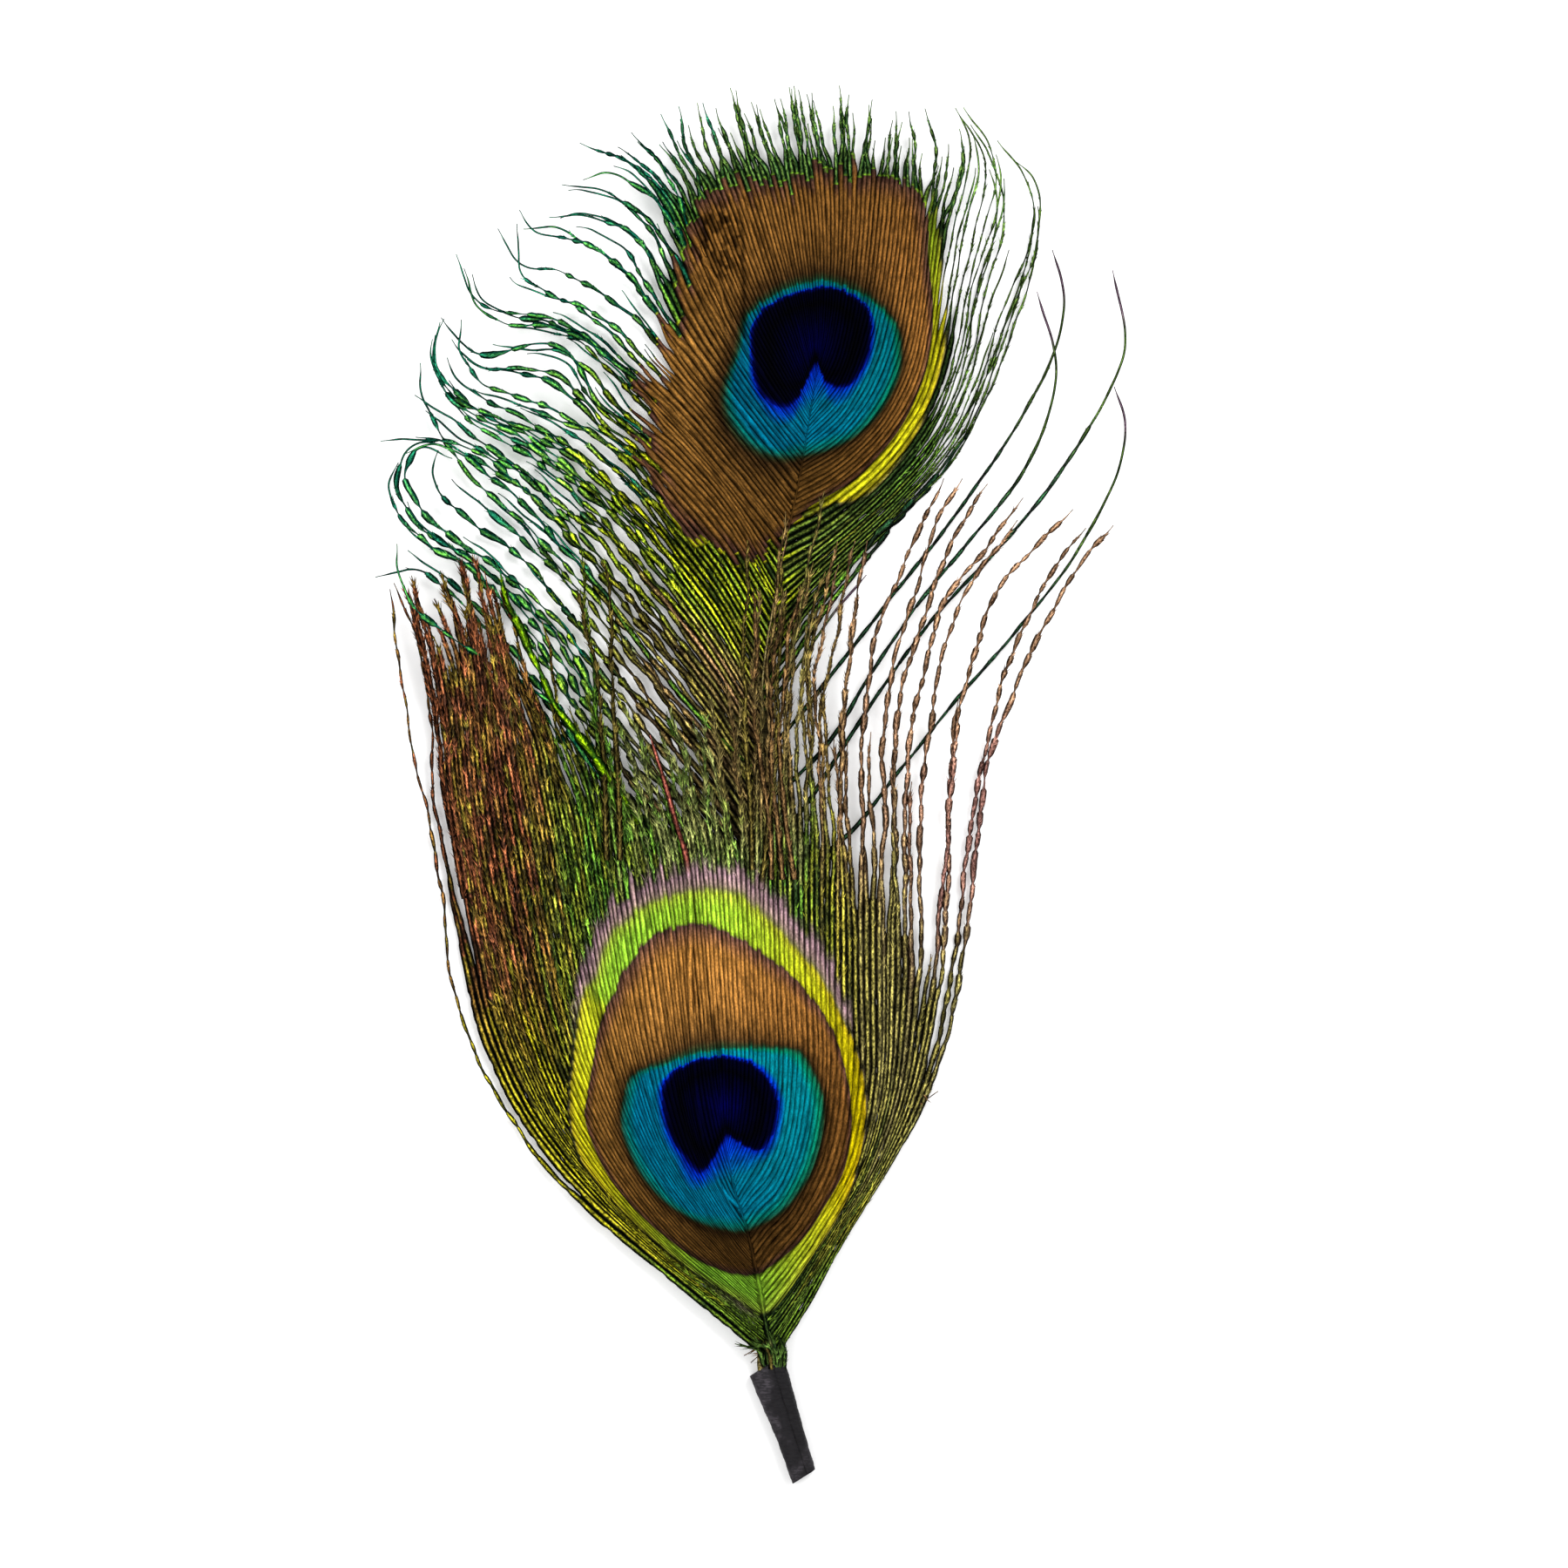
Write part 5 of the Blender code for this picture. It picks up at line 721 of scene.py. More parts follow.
class Eye:
    """The markings of one feather, as a value that rises from the heart outwards.

    loose_from, gleam_from: zones between which barbs come loose, and come to have their painted highlight.
    ragged: the table of how frayed its edges are. early: how much sooner barbs are loose where the
    last band is too thin to be seen.
    """

    def __init__(self, centre, outlines, ring_warmth, light, loose_from, gleam_from, ragged, early):
        self.centre = np.array(centre)
        self.radii = [self.radius_table(outline) for outline in outlines]
        self.ring_warmth = ring_warmth
        self.painted_light_table = light
        self.loose_from = loose_from
        self.gleam_from = gleam_from
        self.ragged = ragged
        self.early = early

    def angle(self, points):
        offset = points[:, :2] - self.centre
        return np.arctan2(offset[:, 1], offset[:, 0])

    def radius_table(self, outline):
        """(angle, radius) round a closed smooth curve through the outline's points."""
        closed = [outline[-1], *outline, outline[0], outline[1]]
        ring = smooth_path([(x, y, 0.0) for x, y in closed], OUTLINE_POINTS)[:, :2] - self.centre
        angle = np.arctan2(ring[:, 1], ring[:, 0])
        order = np.argsort(angle)
        return angle[order], np.linalg.norm(ring, axis=1)[order]

    def zone(self, points):
        """1 on the first outline, 2 on the second and so on, and 0 at the centre."""
        angle = self.angle(points)
        distance = np.linalg.norm(points[:, :2] - self.centre, axis=1)
        zone = np.zeros(len(points))
        inner = np.zeros(len(points))
        for number, (angles, radii) in enumerate(self.radii):
            outer = np.interp(angle, angles, radii, period=2 * np.pi)
            share = np.clip((distance - inner) / np.maximum(outer - inner, NARROWEST_BAND), 0, 1)
            if number == 1:
                share = share ** np.interp(np.degrees(angle), *zip(*RIM_POWER))
            zone = np.where(distance >= inner, number + share, zone)
            inner = outer
        beyond = (distance - inner) / ZONE_FALL
        return np.clip(np.where(beyond > 0, len(self.radii) + beyond, zone), 0, ZONE_TOP)

    def unevenness(self, path, along, rng):
        """How far a barb's markings are moved along it, as edges between colours are not quite smooth."""
        run = unit(np.gradient(path, axis=0))
        fine = 0.06 * rng.normal() + 0.04 * wander(rng, along, 2.5)
        coarse = rng.normal() + 0.4 * wander(rng, along, 3.0)
        first = self.zone(path + run * fine[:, None])
        degrees, *columns = zip(*self.ragged)
        bronze, last = (np.interp(np.degrees(self.angle(path)), degrees, column) for column in columns)
        outer = ease(first, len(self.radii) - 0.6, len(self.radii) - 0.2)
        return run * (fine + coarse * mix(bronze * ease(first, 2.3, 2.9), last, outer))[:, None]

    def warmth(self, points, zone):
        """The share of the warm ramp in the eye's colours."""
        angle = np.degrees(self.angle(points))
        ring = np.interp(angle, *zip(*self.ring_warmth))
        inner = np.interp(angle, *zip(*INNER_WARMTH))
        return np.where(zone < RING_STARTS[0], inner, ring)

    def light(self, points, zone):
        """Painted light and shade: the light the barbs send back, which changes with the way they run."""
        angle = np.degrees(self.angle(points))
        degrees, *columns = zip(*self.painted_light_table)
        turquoise, bronze, ring = (np.interp(angle, degrees, column) for column in columns)
        inside = mix(turquoise, bronze, ease(zone, *BRONZE_STARTS))
        return mix(mix(inside, ring, ease(zone, *RING_STARTS)), 1.0, ease(zone, *BARBS_START))

    def past_edge(self, points, zone):
        """0 just outside the eye and 1 well beyond it: the share of the painted highlight that a barb has
        there.
        """
        edge = len(self.radii) - 1
        return np.maximum(ease(zone, *self.gleam_from), self.thinness(points) * ease(zone, edge, edge + 0.3))

    def looseness(self, points, zone):
        """0 in the eye and 1 outside it. Where its last band is very thin, it has none."""
        edge = len(self.radii) - 1 - self.early
        return np.maximum(ease(zone, *self.loose_from), self.thinness(points) * ease(zone, edge, edge + 0.08))

    def thinness(self, points):
        """1 where the last band is too thin to be seen."""
        angle = self.angle(points)
        before, last = (np.interp(angle, *table, period=2 * np.pi) for table in self.radii[-2:])
        return 1 - ease(last - before, *THIN_BAND)


def unit(vectors):
    return vectors / np.maximum(np.linalg.norm(vectors, axis=1), 1e-9)[:, None]


def sides(path):
    """Unit vectors to the left of the way the path runs, level with the surface."""
    run = unit(np.gradient(path[:, :2], axis=0))
    return np.column_stack([-run[:, 1], run[:, 0], np.zeros(len(run))])


# --- Meshes ---------------------------------------------------------------------------------------------
class Meshes:
    """Gathers the vertices, faces and per-vertex values of one mesh object.

    Every part that is added takes cells of the texture map for itself, and its places in them are
    given for each corner of each face.
    """

    def __init__(self):
        self.points, self.faces, self.values, self.places = [], [], {}, []
        self.count = 0
        self.cells = 0

    def add(self, points, faces, places, cells=1, **values):
        """places: (cell, across, along) for each face's corners, with cells counted from 0."""
        self.points.append(points)
        self.faces.append(faces + self.count)
        self.places.append((places + [self.cells, 0, 0]).reshape(-1, 3))
        self.count += len(points)
        self.cells += cells
        for name, value in values.items():
            self.values.setdefault(name, []).append(value)

    def add_tube(self, rings, along, **values):
        """A closed tube through rings of points, with flat ends."""
        count, corners = rings.shape[:2]
        ring = np.arange(count - 1)[:, None] * corners
        corner = np.arange(corners)
        after = (corner + 1) % corners
        next_ring = ring + corners
        quads = np.stack([ring + corner, next_ring + corner, next_ring + after, ring + after], axis=-1)
        shape = (count - 1, corners)
        low, high = (np.broadcast_to(way[:, None], shape) for way in (along[:-1], along[1:]))
        near, far = (
            np.broadcast_to(TUBE_LEFT + TUBE_SPAN * edge / corners, shape) for edge in (corner, corner + 1))
        cell = np.zeros(shape)
        uses = ((near, low), (near, high), (far, high), (far, low))
        places = np.stack([np.stack([cell, across, up], axis=-1) for across, up in uses], axis=2)
        self.add(rings.reshape(-1, 3), quads.reshape(-1, 4), places.reshape(-1, 4, 3), **values)
        first = self.count - count * corners
        self.cap(first + corner, along[0])
        self.cap(first + count * corners - 1 - corner, along[-1])

    def cap(self, ring, along):
        """One face over the end of the tube that was added last."""
        self.faces.append(ring[None, :])
        turn = np.linspace(0, 2 * np.pi, len(ring), endpoint=False)
        cell = np.full(len(ring), self.cells - 1.0)
        across = CAP_CENTRE + CAP_RADIUS * np.cos(turn)
        self.places.append(np.column_stack([cell, across, along + CAP_RADIUS * np.sin(turn)]))

    def make(self, name, material, rows=1):
        """The mesh object, with its texture map's cells in so many rows."""
        mesh = bpy.data.meshes.new(name)
        faces = [face for block in self.faces for face in block.tolist()]
        mesh.from_pydata((np.vstack(self.points) * MM).tolist(), [], faces)
        for attribute, blocks in self.values.items():
            self.set_values(mesh, attribute, np.concatenate(blocks))
        self.set_places(mesh, rows)
        mesh.polygons.foreach_set("use_smooth", [True] * len(mesh.polygons))
        mesh.materials.append(material)
        obj = bpy.data.objects.new(name, mesh)
        bpy.context.scene.collection.objects.link(obj)
        return obj

    def set_values(self, mesh, attribute, data):
        if data.ndim == 1:
            mesh.attributes.new(attribute, "FLOAT", "POINT").data.foreach_set("value", data)
        elif attribute == "grain":
            mesh.attributes.new(attribute, "FLOAT_VECTOR", "POINT").data.foreach_set("vector", data.ravel())
        else:
            data = np.column_stack([data, np.ones(len(data))])
            mesh.attributes.new(attribute, "FLOAT_COLOR", "POINT").data.foreach_set("color", data.ravel())

    def set_places(self, mesh, rows):
        """The texture map: the cells in rows, each a column that its part runs up."""
        places = np.vstack(self.places)
        columns = math.ceil(self.cells / rows)
        u = (places[:, 0] % columns + places[:, 1]) / columns
        up = ROW_FOOT + ROW_SPAN * places[:, 2] / places[:, 2].max()
        v = (places[:, 0] // columns + up) / rows
        layer = mesh.uv_layers.new(name="OFBake")
        layer.data.foreach_set("uv", np.column_stack([u, v]).ravel())


# --- Barbs ----------------------------------------------------------------------------------------------
class Plumage:
    """Turns one feather's strands into barbs."""

    def __init__(self, seed, shaft, eye, paint, wear_and_shade, splits=()):
        self.rng = np.random.default_rng(seed)
        self.splits = [(dark, resample(np.array(line), 60)) for dark, line in splits]
        self.shaft = smooth_path(shaft, SHAFT_POINTS)
        self.eye = eye
        self.paint = paint
        self.wear_and_shade = wear_and_shade
        self.number = 0

    def root(self, y):
        """The point of the shaft at y."""
        order = np.argsort(self.shaft[:, 1])
        return [np.interp(y, self.shaft[order, 1], self.shaft[order, i]) for i in range(3)]

    def strand_path(self, root_y, route):
        """From the shaft along the route, or the route alone for a barb that starts among the others."""
        start = [] if root_y is None else [self.root(root_y)]
        return smooth_path([*start, *route], PATH_POINTS)

    def split_shade(self, points):
        """1, and less where the points are near a split, as painted shade in the gap there."""
        shade = np.ones(len(points))
        for dark, line in self.splits:
            offsets = points[:, None, :2] - line[None, :, :]
            nearest = np.linalg.norm(offsets, axis=2).min(axis=1)
            shade *= 1 - dark * np.exp(-((nearest / SPLIT_WIDTH) ** 2))
        return shade

    def fan(self, strands, ribbons, barbules):
        """Barbs on every strand and between each two, in the strands' order."""
        paths = [self.strand_path(root_y, route) for _, _, root_y, route in strands]
        share_along = np.linspace(0, 1, PATH_POINTS + 1)
        spacing_before = np.zeros(PATH_POINTS + 1)
        for j, (first, second) in enumerate(zip(paths, paths[1:])):
            hooked = mix(strands[j][0], strands[j + 1][0], 0.5)
            style = STYLES[strands[j][1]]
            apart = np.abs(((first - second) * sides((first + second) / 2)).sum(axis=1))
            between = max(1, round(apart[share_along < hooked + 0.05].max() / style.pitch))
            last = j == len(paths) - 2
            for k in range(between + 1 if last else between):
                share = k / between
                loose = ease(share_along, hooked, min(1.0, hooked + 0.3))
                lock = round(share * style.locks) / style.locks
                near = lock + LOCK_SPREAD * (share - lock)
                at = mix(share, near, style.gather * loose)[:, None]
                length = self.length(style, hooked, k in (0, between))
                spacing = apart / between
                if k == 0:
                    spacing = np.maximum(spacing, spacing_before)
                half_width = spacing / 2 * style.cover
                self.barb(mix(first, second, at), half_width, hooked, style, length, ribbons, barbules)
            spacing_before = apart / between

    def length(self, style, hooked, is_strand):
        """The share of its route that a barb runs. Barbs end only where they are loose."""
        if is_strand:
            return 1.0
        if self.rng.uniform() < style.full:
            return self.rng.uniform(*FULL_LENGTHS)
        return min(LONGEST_SHORT, max(self.rng.uniform(style.least, style.most), hooked + SHORTEST_LOOSE))

    def cut(self, path, half_width, length):
        """The share of the path that the barb runs, and its half-width, at even steps."""
        keep = max(12, round(PATH_POINTS * length)) + 1
        rows = np.column_stack([path, half_width])[:keep]
        rows = resample(rows, max(FEWEST_STEPS, round(lengths(rows)[-1] / STEP)))
        return rows[:, :3], rows[:, 3]

    def strayed(self, path, along, free, style):
        """The path as the barb lies: it sways and curls sideways where it is free, and rises a little."""
        rng = self.rng
        end = along[-1]
        sway = mix(HOOKED_STRAY, style.sway, free)
        stray = wander(rng, along, SWAY_LENGTH) * sway + wander(rng, along, RIPPLE_LENGTH) * sway * RIPPLE
        stray += (style.curl * rng.normal() + style.lean) * free * ease(along, 0.4 * end, 1.2 * end)
        path = path + sides(path) * stray[:, None]
        wave = wander(rng, along, WAVE_LENGTH) * mix(HOOKED_STRAY, LOOSE_WAVE, free)
        path[:, 2] += wave + rng.uniform(*OWN_HEIGHTS)
        path[:, 2] += free * rng.uniform(*LOOSE_HEIGHTS)
        return path

    def width(self, vane, beads, along, outward, free, fluff, wisp, style):
        """The barb's half-width: the vane's where it is hooked, its beads' beyond, and thin at the tip."""
        end = along[-1]
        worn = 1 - 0.3 * fluff * ease(wander(self.rng, along, 7.0), 0, 1)
        vane = np.minimum(vane * OVERLAP, WIDEST_VANE_BARB) * worn
        half = mix(mix(vane, beads.half * mix(1.2, 0.7, outward), free), style.thread / 2, wisp)
        half *= mix(ROOT_WIDENING, 1.0, ease(along, 0, ROOT_TAPER))
        return np.maximum(half * (1 - TIP_NARROWING * ease(along, end - TIP_TAPER, end)), TIP_HALF_WIDTH)

    def brightness(self, path, zone, along, free, fluff, dashed, beads):
        """Its own tone, changed by its beads, its flecks and the painted light and shade of its place in the
        eye.
        """
        rng = self.rng
        tone = 0.95 + 0.15 * rng.normal() + 0.10 * wander(rng, along, 6.0)
        tone = tone * self.eye.light(path, zone) * mix(1.0, beads.tone, free * fluff)
        return tone * mix(1.0, 0.5 + 0.85 * flecks(rng, along), fluff * dashed * (1 - 0.5 * free))

    def barb(self, path, half_width, hooked, style, length, ribbons, barbules):
        """One barb: a ribbon along the path, and loose barbules along the part outside the eye.

        hooked: the share of the path over which it holds to its neighbours. length: the share it runs.
        """
        rng = self.rng
        total = lengths(path)[-1]
        path, vane = self.cut(path, half_width, length)
        along = lengths(path)
        end = along[-1]
        free = ease(along / total, hooked, min(0.97, hooked + style.give))
        path = self.strayed(path, along, free, style)
        left = sides(path)
        shift = self.eye.unevenness(path, along, rng)
        zone = self.eye.zone(path + shift)
        fluff = self.eye.looseness(path, zone)
        tint, gleam = self.paint(path, zone, along, end, rng)
        worn, crack, dashed = self.wear_and_shade(path, zone, along, rng)
        slack = ease(along / total, hooked, min(1.0, hooked + style.give + 0.3))
        beads = Beads(rng, along, style, slack)
        wisp = ease(along, end - style.tip, end - 0.6 * style.tip) * free
        outward = np.clip((along - hooked * total) / max(end - hooked * total, 1.0), 0, 1)
        half = self.width(vane, beads, along, outward, free, fluff, wisp, style)
        tone = self.brightness(path, zone, along, free, fluff, dashed, beads)
        # Its painted highlight: steady, or in flecks where dashed, on the beads where free, only past the
        # eye's edge.
        steady = rng.uniform(0.15, 1.1) + 0.4 * wander(rng, along, 8.0)
        lit = mix(np.clip(mix(steady, flecks(rng, along), dashed), 0.05, 1), beads.shine, free * (1 - wisp))
        lit *= self.eye.past_edge(path, zone)
        # Hooked barbs outside the eye have painted shade in the gaps beside them.
        crack = np.maximum(crack, 0.75 * fluff * (1 - free))
        values = dict(
            zone=zone, warmth=self.eye.warmth(path, zone), fluff=fluff,
            tone=np.maximum(tone * worn, DARKEST_TONE), crack=crack, lit=lit, tint=tint, gleam=gleam)
        roll = mix(SHINGLE, fluff * (1 - wisp) * 0.5 * wander(rng, along, ROLL_LENGTH), free)
        edges = [path + left * (half * side)[:, None] for side in (1, 0, -1, 0)]
        corners = dict(
            zone=np.column_stack([self.eye.zone(edge + shift) for edge in edges]),
            tone=np.column_stack([values["tone"] * self.split_shade(edge) for edge in edges]))
        self.ribbon(path, left, half, roll, along, {**values, **corners}, ribbons)
        downy = fluff * (1 - wisp) * mix(mix(0.08, 1.0, dashed), 1.0, free)
        self.barbules(path, left, along, downy, style, beads, values, barbules)
        self.number += 1

    def grain(self, along, across):
        """(barb, mm along it, place across it), which the material's streaks follow."""
        barb = np.full(4 * len(along), self.number * GRAIN_SHIFT)
        return np.column_stack([barb, np.repeat(along, 4), across])

    def ribbon(self, path, left, half, roll, along, values, meshes):
        """A tube of four corners: the two edges, the shaft above them and the keel below."""
        up = np.array([0.0, 0.0, 1.0])
        side = left * np.cos(roll)[:, None] + up * np.sin(roll)[:, None]
        over = up * np.cos(roll)[:, None] - left * np.sin(roll)[:, None]
        thin = np.minimum(1.0, half / RIDGED_HALF_WIDTH)[:, None]
        rings = np.stack([
            path + side * half[:, None],
            path + over * BARB_RIDGE * thin,
            path - side * half[:, None],
            path - over * BARB_KEEL * thin,
        ], axis=1)
        rings[:, :, 2] = np.maximum(rings[:, :, 2], FLOOR_GAP)
        across = np.tile([1.0, 0.0, -1.0, 0.0], len(path))
        grain = self.grain(along, across)
        corners = {name: values.pop(name).ravel() for name in ("zone", "tone")}
        repeated = {name: np.repeat(value, 4, axis=0) for name, value in values.items()}
        meshes.add_tube(rings, along, across=across, grain=grain, **corners, **repeated)

    def barbules(self, path, left, along, loose, style, beads, values, meshes):
        """Slim blades that leave the barb's shaft forwards on both sides, inside each bead."""
        rng = self.rng
        run = unit(np.gradient(path, axis=0))
        chance = loose * beads.leafy * style.blades * STEP / 2
        for side in (1, -1, 1, -1):
            picked = np.flatnonzero(rng.uniform(0, 1, len(path)) < chance)
            if not len(picked):
                continue
            n = len(picked)
            angle = np.radians(rng.uniform(*BARBULE_ANGLES, n))[:, None]
            reach = (style.reach * beads.size[picked] * rng.uniform(*BARBULE_REACHES, n))[:, None]
            forward = run[picked] * np.cos(angle) + side * left[picked] * np.sin(angle)
            base = path[picked]
            lift = np.column_stack([np.zeros((n, 2)), rng.uniform(*BARBULE_LIFTS, n)])
            wide = left[picked] * BARBULE_HALF_WIDTH
            ridge = [0, 0, BARBULE_RIDGE]
            keel = [0, 0, -BARBULE_RIDGE]
            tip = base + forward * reach + lift
            points = np.stack([base - wide, base + wide + ridge, base + keel, tip], axis=1)
            points[:, :, 2] = np.maximum(points[:, :, 2], FLOOR_GAP)
            faces = np.arange(n)[:, None, None] * 4 + BLADE_FACES
            cell = np.broadcast_to(np.arange(n)[:, None, None, None], (n, 4, 3, 1))
            places = np.concatenate([cell, np.broadcast_to(BLADE_PLACES, (n, 4, 3, 2))], axis=3)
            across = np.tile(BLADE_ACROSS, n)
            grain = self.grain(along[picked], across)
            own = {name: value[picked] for name, value in values.items()}
            own["lit"] = mix(own["lit"], rng.uniform(0, 1, n), 0.5)
            own["tone"] = own["tone"] * rng.uniform(*BARBULE_TONES, n)
            repeated = {name: np.repeat(value, 4, axis=0) for name, value in own.items()}
            meshes.add(
                points.reshape(-1, 3), faces.reshape(-1, 3), places.reshape(-1, 3, 3), cells=n,
                across=across, grain=grain, **repeated)


# A barbule: its four faces, their places in its cell, and where its corners lie across the barb.
BLADE_FACES = np.array([[0, 1, 3], [1, 2, 3], [2, 0, 3], [0, 2, 1]])
BLADE_ACROSS = (0.1, 0.1, 0.1, 0.45)
BLADE_PLACES = np.array([
    [[k / 4 + 0.03, 0.05], [k / 4 + 0.22, 0.05], [k / 4 + 0.12, 0.95]] for k in range(4)
])


class Beads:
    """The leaf-like tufts of barbules along a loose barb, slim at first and widest near their ends."""

    def __init__(self, rng, along, style, slack):
        """slack: 0 where the barb leaves its neighbours, 1 from where it is quite free.

        tone, size, shine and half hold a bead's brightness, size, painted highlight and half-width at each
        point, and leafy says where barbules grow.
        """
        length = style.bead * rng.uniform(0.85, 1.15)
        phase = along / length + 0.22 * wander(rng, along, 9.0) + rng.uniform(0, 1)
        bead = np.floor(phase).astype(int)
        part = phase - bead
        bead -= bead.min()
        count = bead.max() + 1
        self.tone = rng.uniform(0.6, 1.35, count)[bead]
        self.size = rng.uniform(0.7, 1.15, count)[bead]
        start = max(0.05, style.swell - 0.5)
        leaf = ease(part, start, style.swell) * (1 - ease(part, style.blunt, style.blunt + 0.1))
        self.leafy = (leaf > 0.05) & (part < style.blunt - 0.08)
        self.shine = leaf * ease(part, 0.0, 0.8) * rng.uniform(0.5, 1.6, count)[bead]
        narrow = mix(0.8, style.waist, slack)
        self.half = style.width / 2 * self.size * mix(0.7, 1.0, slack) * mix(narrow, 1.0, leaf)


# --- Colours of the loose barbs and of the feathers' shafts -------------------------------------------------
# Each is (the barbules' own colour, the painted highlight on the shaft and on barbules that catch the light).
HORN = (srgb(120, 108, 66), srgb(196, 178, 120))
OLIVE = (srgb(34, 38, 18), srgb(160, 150, 44))
RUST = (srgb(40, 26, 20), srgb(150, 88, 54))
GREEN = (srgb(24, 42, 20), srgb(106, 156, 46))
SAGE = (srgb(72, 78, 44), srgb(150, 156, 88))
DEEP = (srgb(16, 24, 12), srgb(84, 104, 40))
LEAF = (srgb(14, 66, 36), srgb(168, 214, 36))
BROWN_GOLD = (srgb(66, 50, 34), srgb(160, 126, 84))
TAN = (srgb(100, 74, 54), srgb(156, 122, 94))
ROSE = (srgb(112, 78, 70), srgb(160, 116, 106))
EDGE_YELLOW = (srgb(30, 34, 10), srgb(196, 190, 26))
EMERALD = (srgb(4, 76, 60), srgb(92, 186, 76))
TEAL = (srgb(8, 56, 46), srgb(32, 128, 92))
YELLOW_GREEN = (srgb(36, 50, 16), srgb(208, 214, 30))
DARK_GREEN = (srgb(28, 44, 22), srgb(84, 112, 46))
LIME = (srgb(44, 84, 16), srgb(176, 232, 18))
REDDISH = (srgb(96, 50, 40), srgb(158, 86, 72))
UMBER = (srgb(60, 44, 28), srgb(146, 112, 68))
KHAKI = (srgb(62, 56, 34), srgb(150, 140, 82))
BARK = (srgb(42, 37, 18), srgb(120, 106, 48))
MOSS = (srgb(40, 74, 38), srgb(112, 146, 66))
INK = (srgb(20, 26, 22), srgb(40, 84, 52))
PLUM = (srgb(70, 52, 66), srgb(104, 84, 98))


def layered(base, *layers):
    """(tint, gleam) per point: base, then each (colours, weight per point) painted over it."""
    painted = []
    for which in (0, 1):
        colour = np.tile(base[which], (len(layers[0][1]), 1))
        for colours, weight in layers:
            colour = mix(colour, np.array(colours[which]), weight[:, None])
        painted.append(colour)
    return painted


def front_paint(path, zone, along, end, rng):
    """Rust on the left, green over the eye's top and round its base, tan on the right."""
    x, y = path[:, 0] + rng.normal(0, 1.4), path[:, 1] + rng.normal(0, 2.0)
    patch = flecks(rng, along / 2.0)
    return layered(
        OLIVE,
        (EDGE_YELLOW, rng.uniform(0.2, 1.0) * (1 - ease(x, -5, 2)) * (1 - ease(y, -30, -16))),
        (KHAKI, ease(x, 9, 14) * rng.uniform(0.6, 1.0)),
        (GREEN, ease(x, -23, -16) * (1 - ease(x, 4, 10)) * ease(y, -36, -16) * np.clip(patch + 0.4, 0, 1)),
        (SAGE, ease(x, -15, -10) * (1 - ease(x, 4, 8)) * ease(y, -12, -7) * np.clip(1.3 - patch, 0, 1)),
        (RUST, (1 - ease(x, -25, -17)) * ease(y, -38, -16) * np.clip(1.35 - 0.9 * patch, 0, 1)),
        (UMBER, ease(x, -7, 0) * ease(y, -8, 0) * rng.uniform(0.6, 1.0)),
        (GREEN, (1 - ease(y, -54, -48)) * 0.8),
        (DEEP, ease(x, 2, 5) * (1 - ease(y, -44, -32)) * ease(zone, 4.0, 4.4) * rng.uniform(0.3, 1.0)),
        (TAN, ease(x, 6, 13) * ease(y, -15, 0)),
        (ROSE, ease(x, 15, 21) * ease(y, -24, -12) * (1 - ease(y, -2, 6))),
    )


def rear_paint(path, zone, along, end, rng):
    """Brown-gold near the shaft below the eye, yellow-green further out, emerald to teal at the tips."""
    x, y = path[:, 0] + rng.normal(0, 1.0), path[:, 1] + rng.normal(0, 1.5)
    out = np.hypot(x - 3, (y - 24) * 0.85)
    low = 1 - ease(y + 0.5 * x, 10, 17)
    right = ease(x, 2, 5)
    fringe = 0.8 * ease(y, 44, 50) * ease(x, -11, -7)
    return layered(
        GREEN,
        (YELLOW_GREEN, (1 - right) * (1 - ease(out, 23, 32)) * (1 - ease(y, 38, 46)) * rng.uniform(0.3, 1.0)),
        (OLIVE, right * (1 - ease(y, 26, 34)) * rng.uniform(0.2, 0.9)),
        (DARK_GREEN, right * rng.uniform(0.2, 0.9)),
        (LEAF, ease(out, 15, 22) * (1 - right) * (1 - ease(y, 44, 50)) * rng.uniform(0.2, 0.7)),
        (EMERALD, ease(out, 19, 28) * rng.uniform(0.75, 1.0) * (1 - ease(x, 8, 14)) * (1 - fringe) * 0.95),
        (BROWN_GOLD, low * ease(x, -19, -10) * (1 - right) * rng.uniform(0.6, 1.0)),
        (DARK_GREEN, ease(x, 20, 23)),
        (MOSS, ease(y, 56, 60) * ease(x, -9, -5)),
        (TEAL, ease(along, end - 10, end - 6) * (1 - ease(x, -9, -5))),
        (TEAL, ease(out, 34, 42) * (1 - ease(x, -9, -5)) * 0.7),
    )


def lone_paint(path, zone, along, end, rng):
    """Nearly black, green further out, and plum at the tip."""
    return layered(
        INK,
        (DARK_GREEN, ease(along, end - 26, end - 14)),
        (PLUM, ease(along, end - 7, end - 4)),
    )


# The colours that the tables of single barbs name.
COLOURS = {
    "BARK": BARK, "DARK_GREEN": DARK_GREEN, "EMERALD": EMERALD, "INK": INK, "LIME": LIME,
    "REDDISH": REDDISH, "RUST": RUST, "UMBER": UMBER,
}


def front_wear_and_shade(path, zone, along, rng):
    """(brightness, painted shade in the gap beside it, how broken its painted highlight is) along a front
    barb.

    A few barbs have deep painted shade beside them for a while, and those at the eye's foot and in the neck
    are darker.
    """
    x, y = path[:, 0], path[:, 1]
    shaded_gap = ease(wander(rng, along, 15.0), 0.75, 1.15) * (rng.uniform() < 0.45)
    base = (1 - ease(y, -52, -44)) * ease(zone, 2.95, 3.1) * rng.uniform(0.3, 1.0)
    dashed = (1 - ease(x, -19, -11)) * ease(y, -32, -16) + ease(y, -12, -8) * (1 - ease(x, 5, 9))
    neck = 1 - ease(y, -58.5, -53.5)
    bright = (1 - 0.3 * base) * (1 - neck * rng.uniform(0.1, 0.9)) * (1 + 0.14 * ease(y, -30, -15))
    return bright, np.maximum(shaded_gap, base), np.clip(dashed, 0.06, 1)


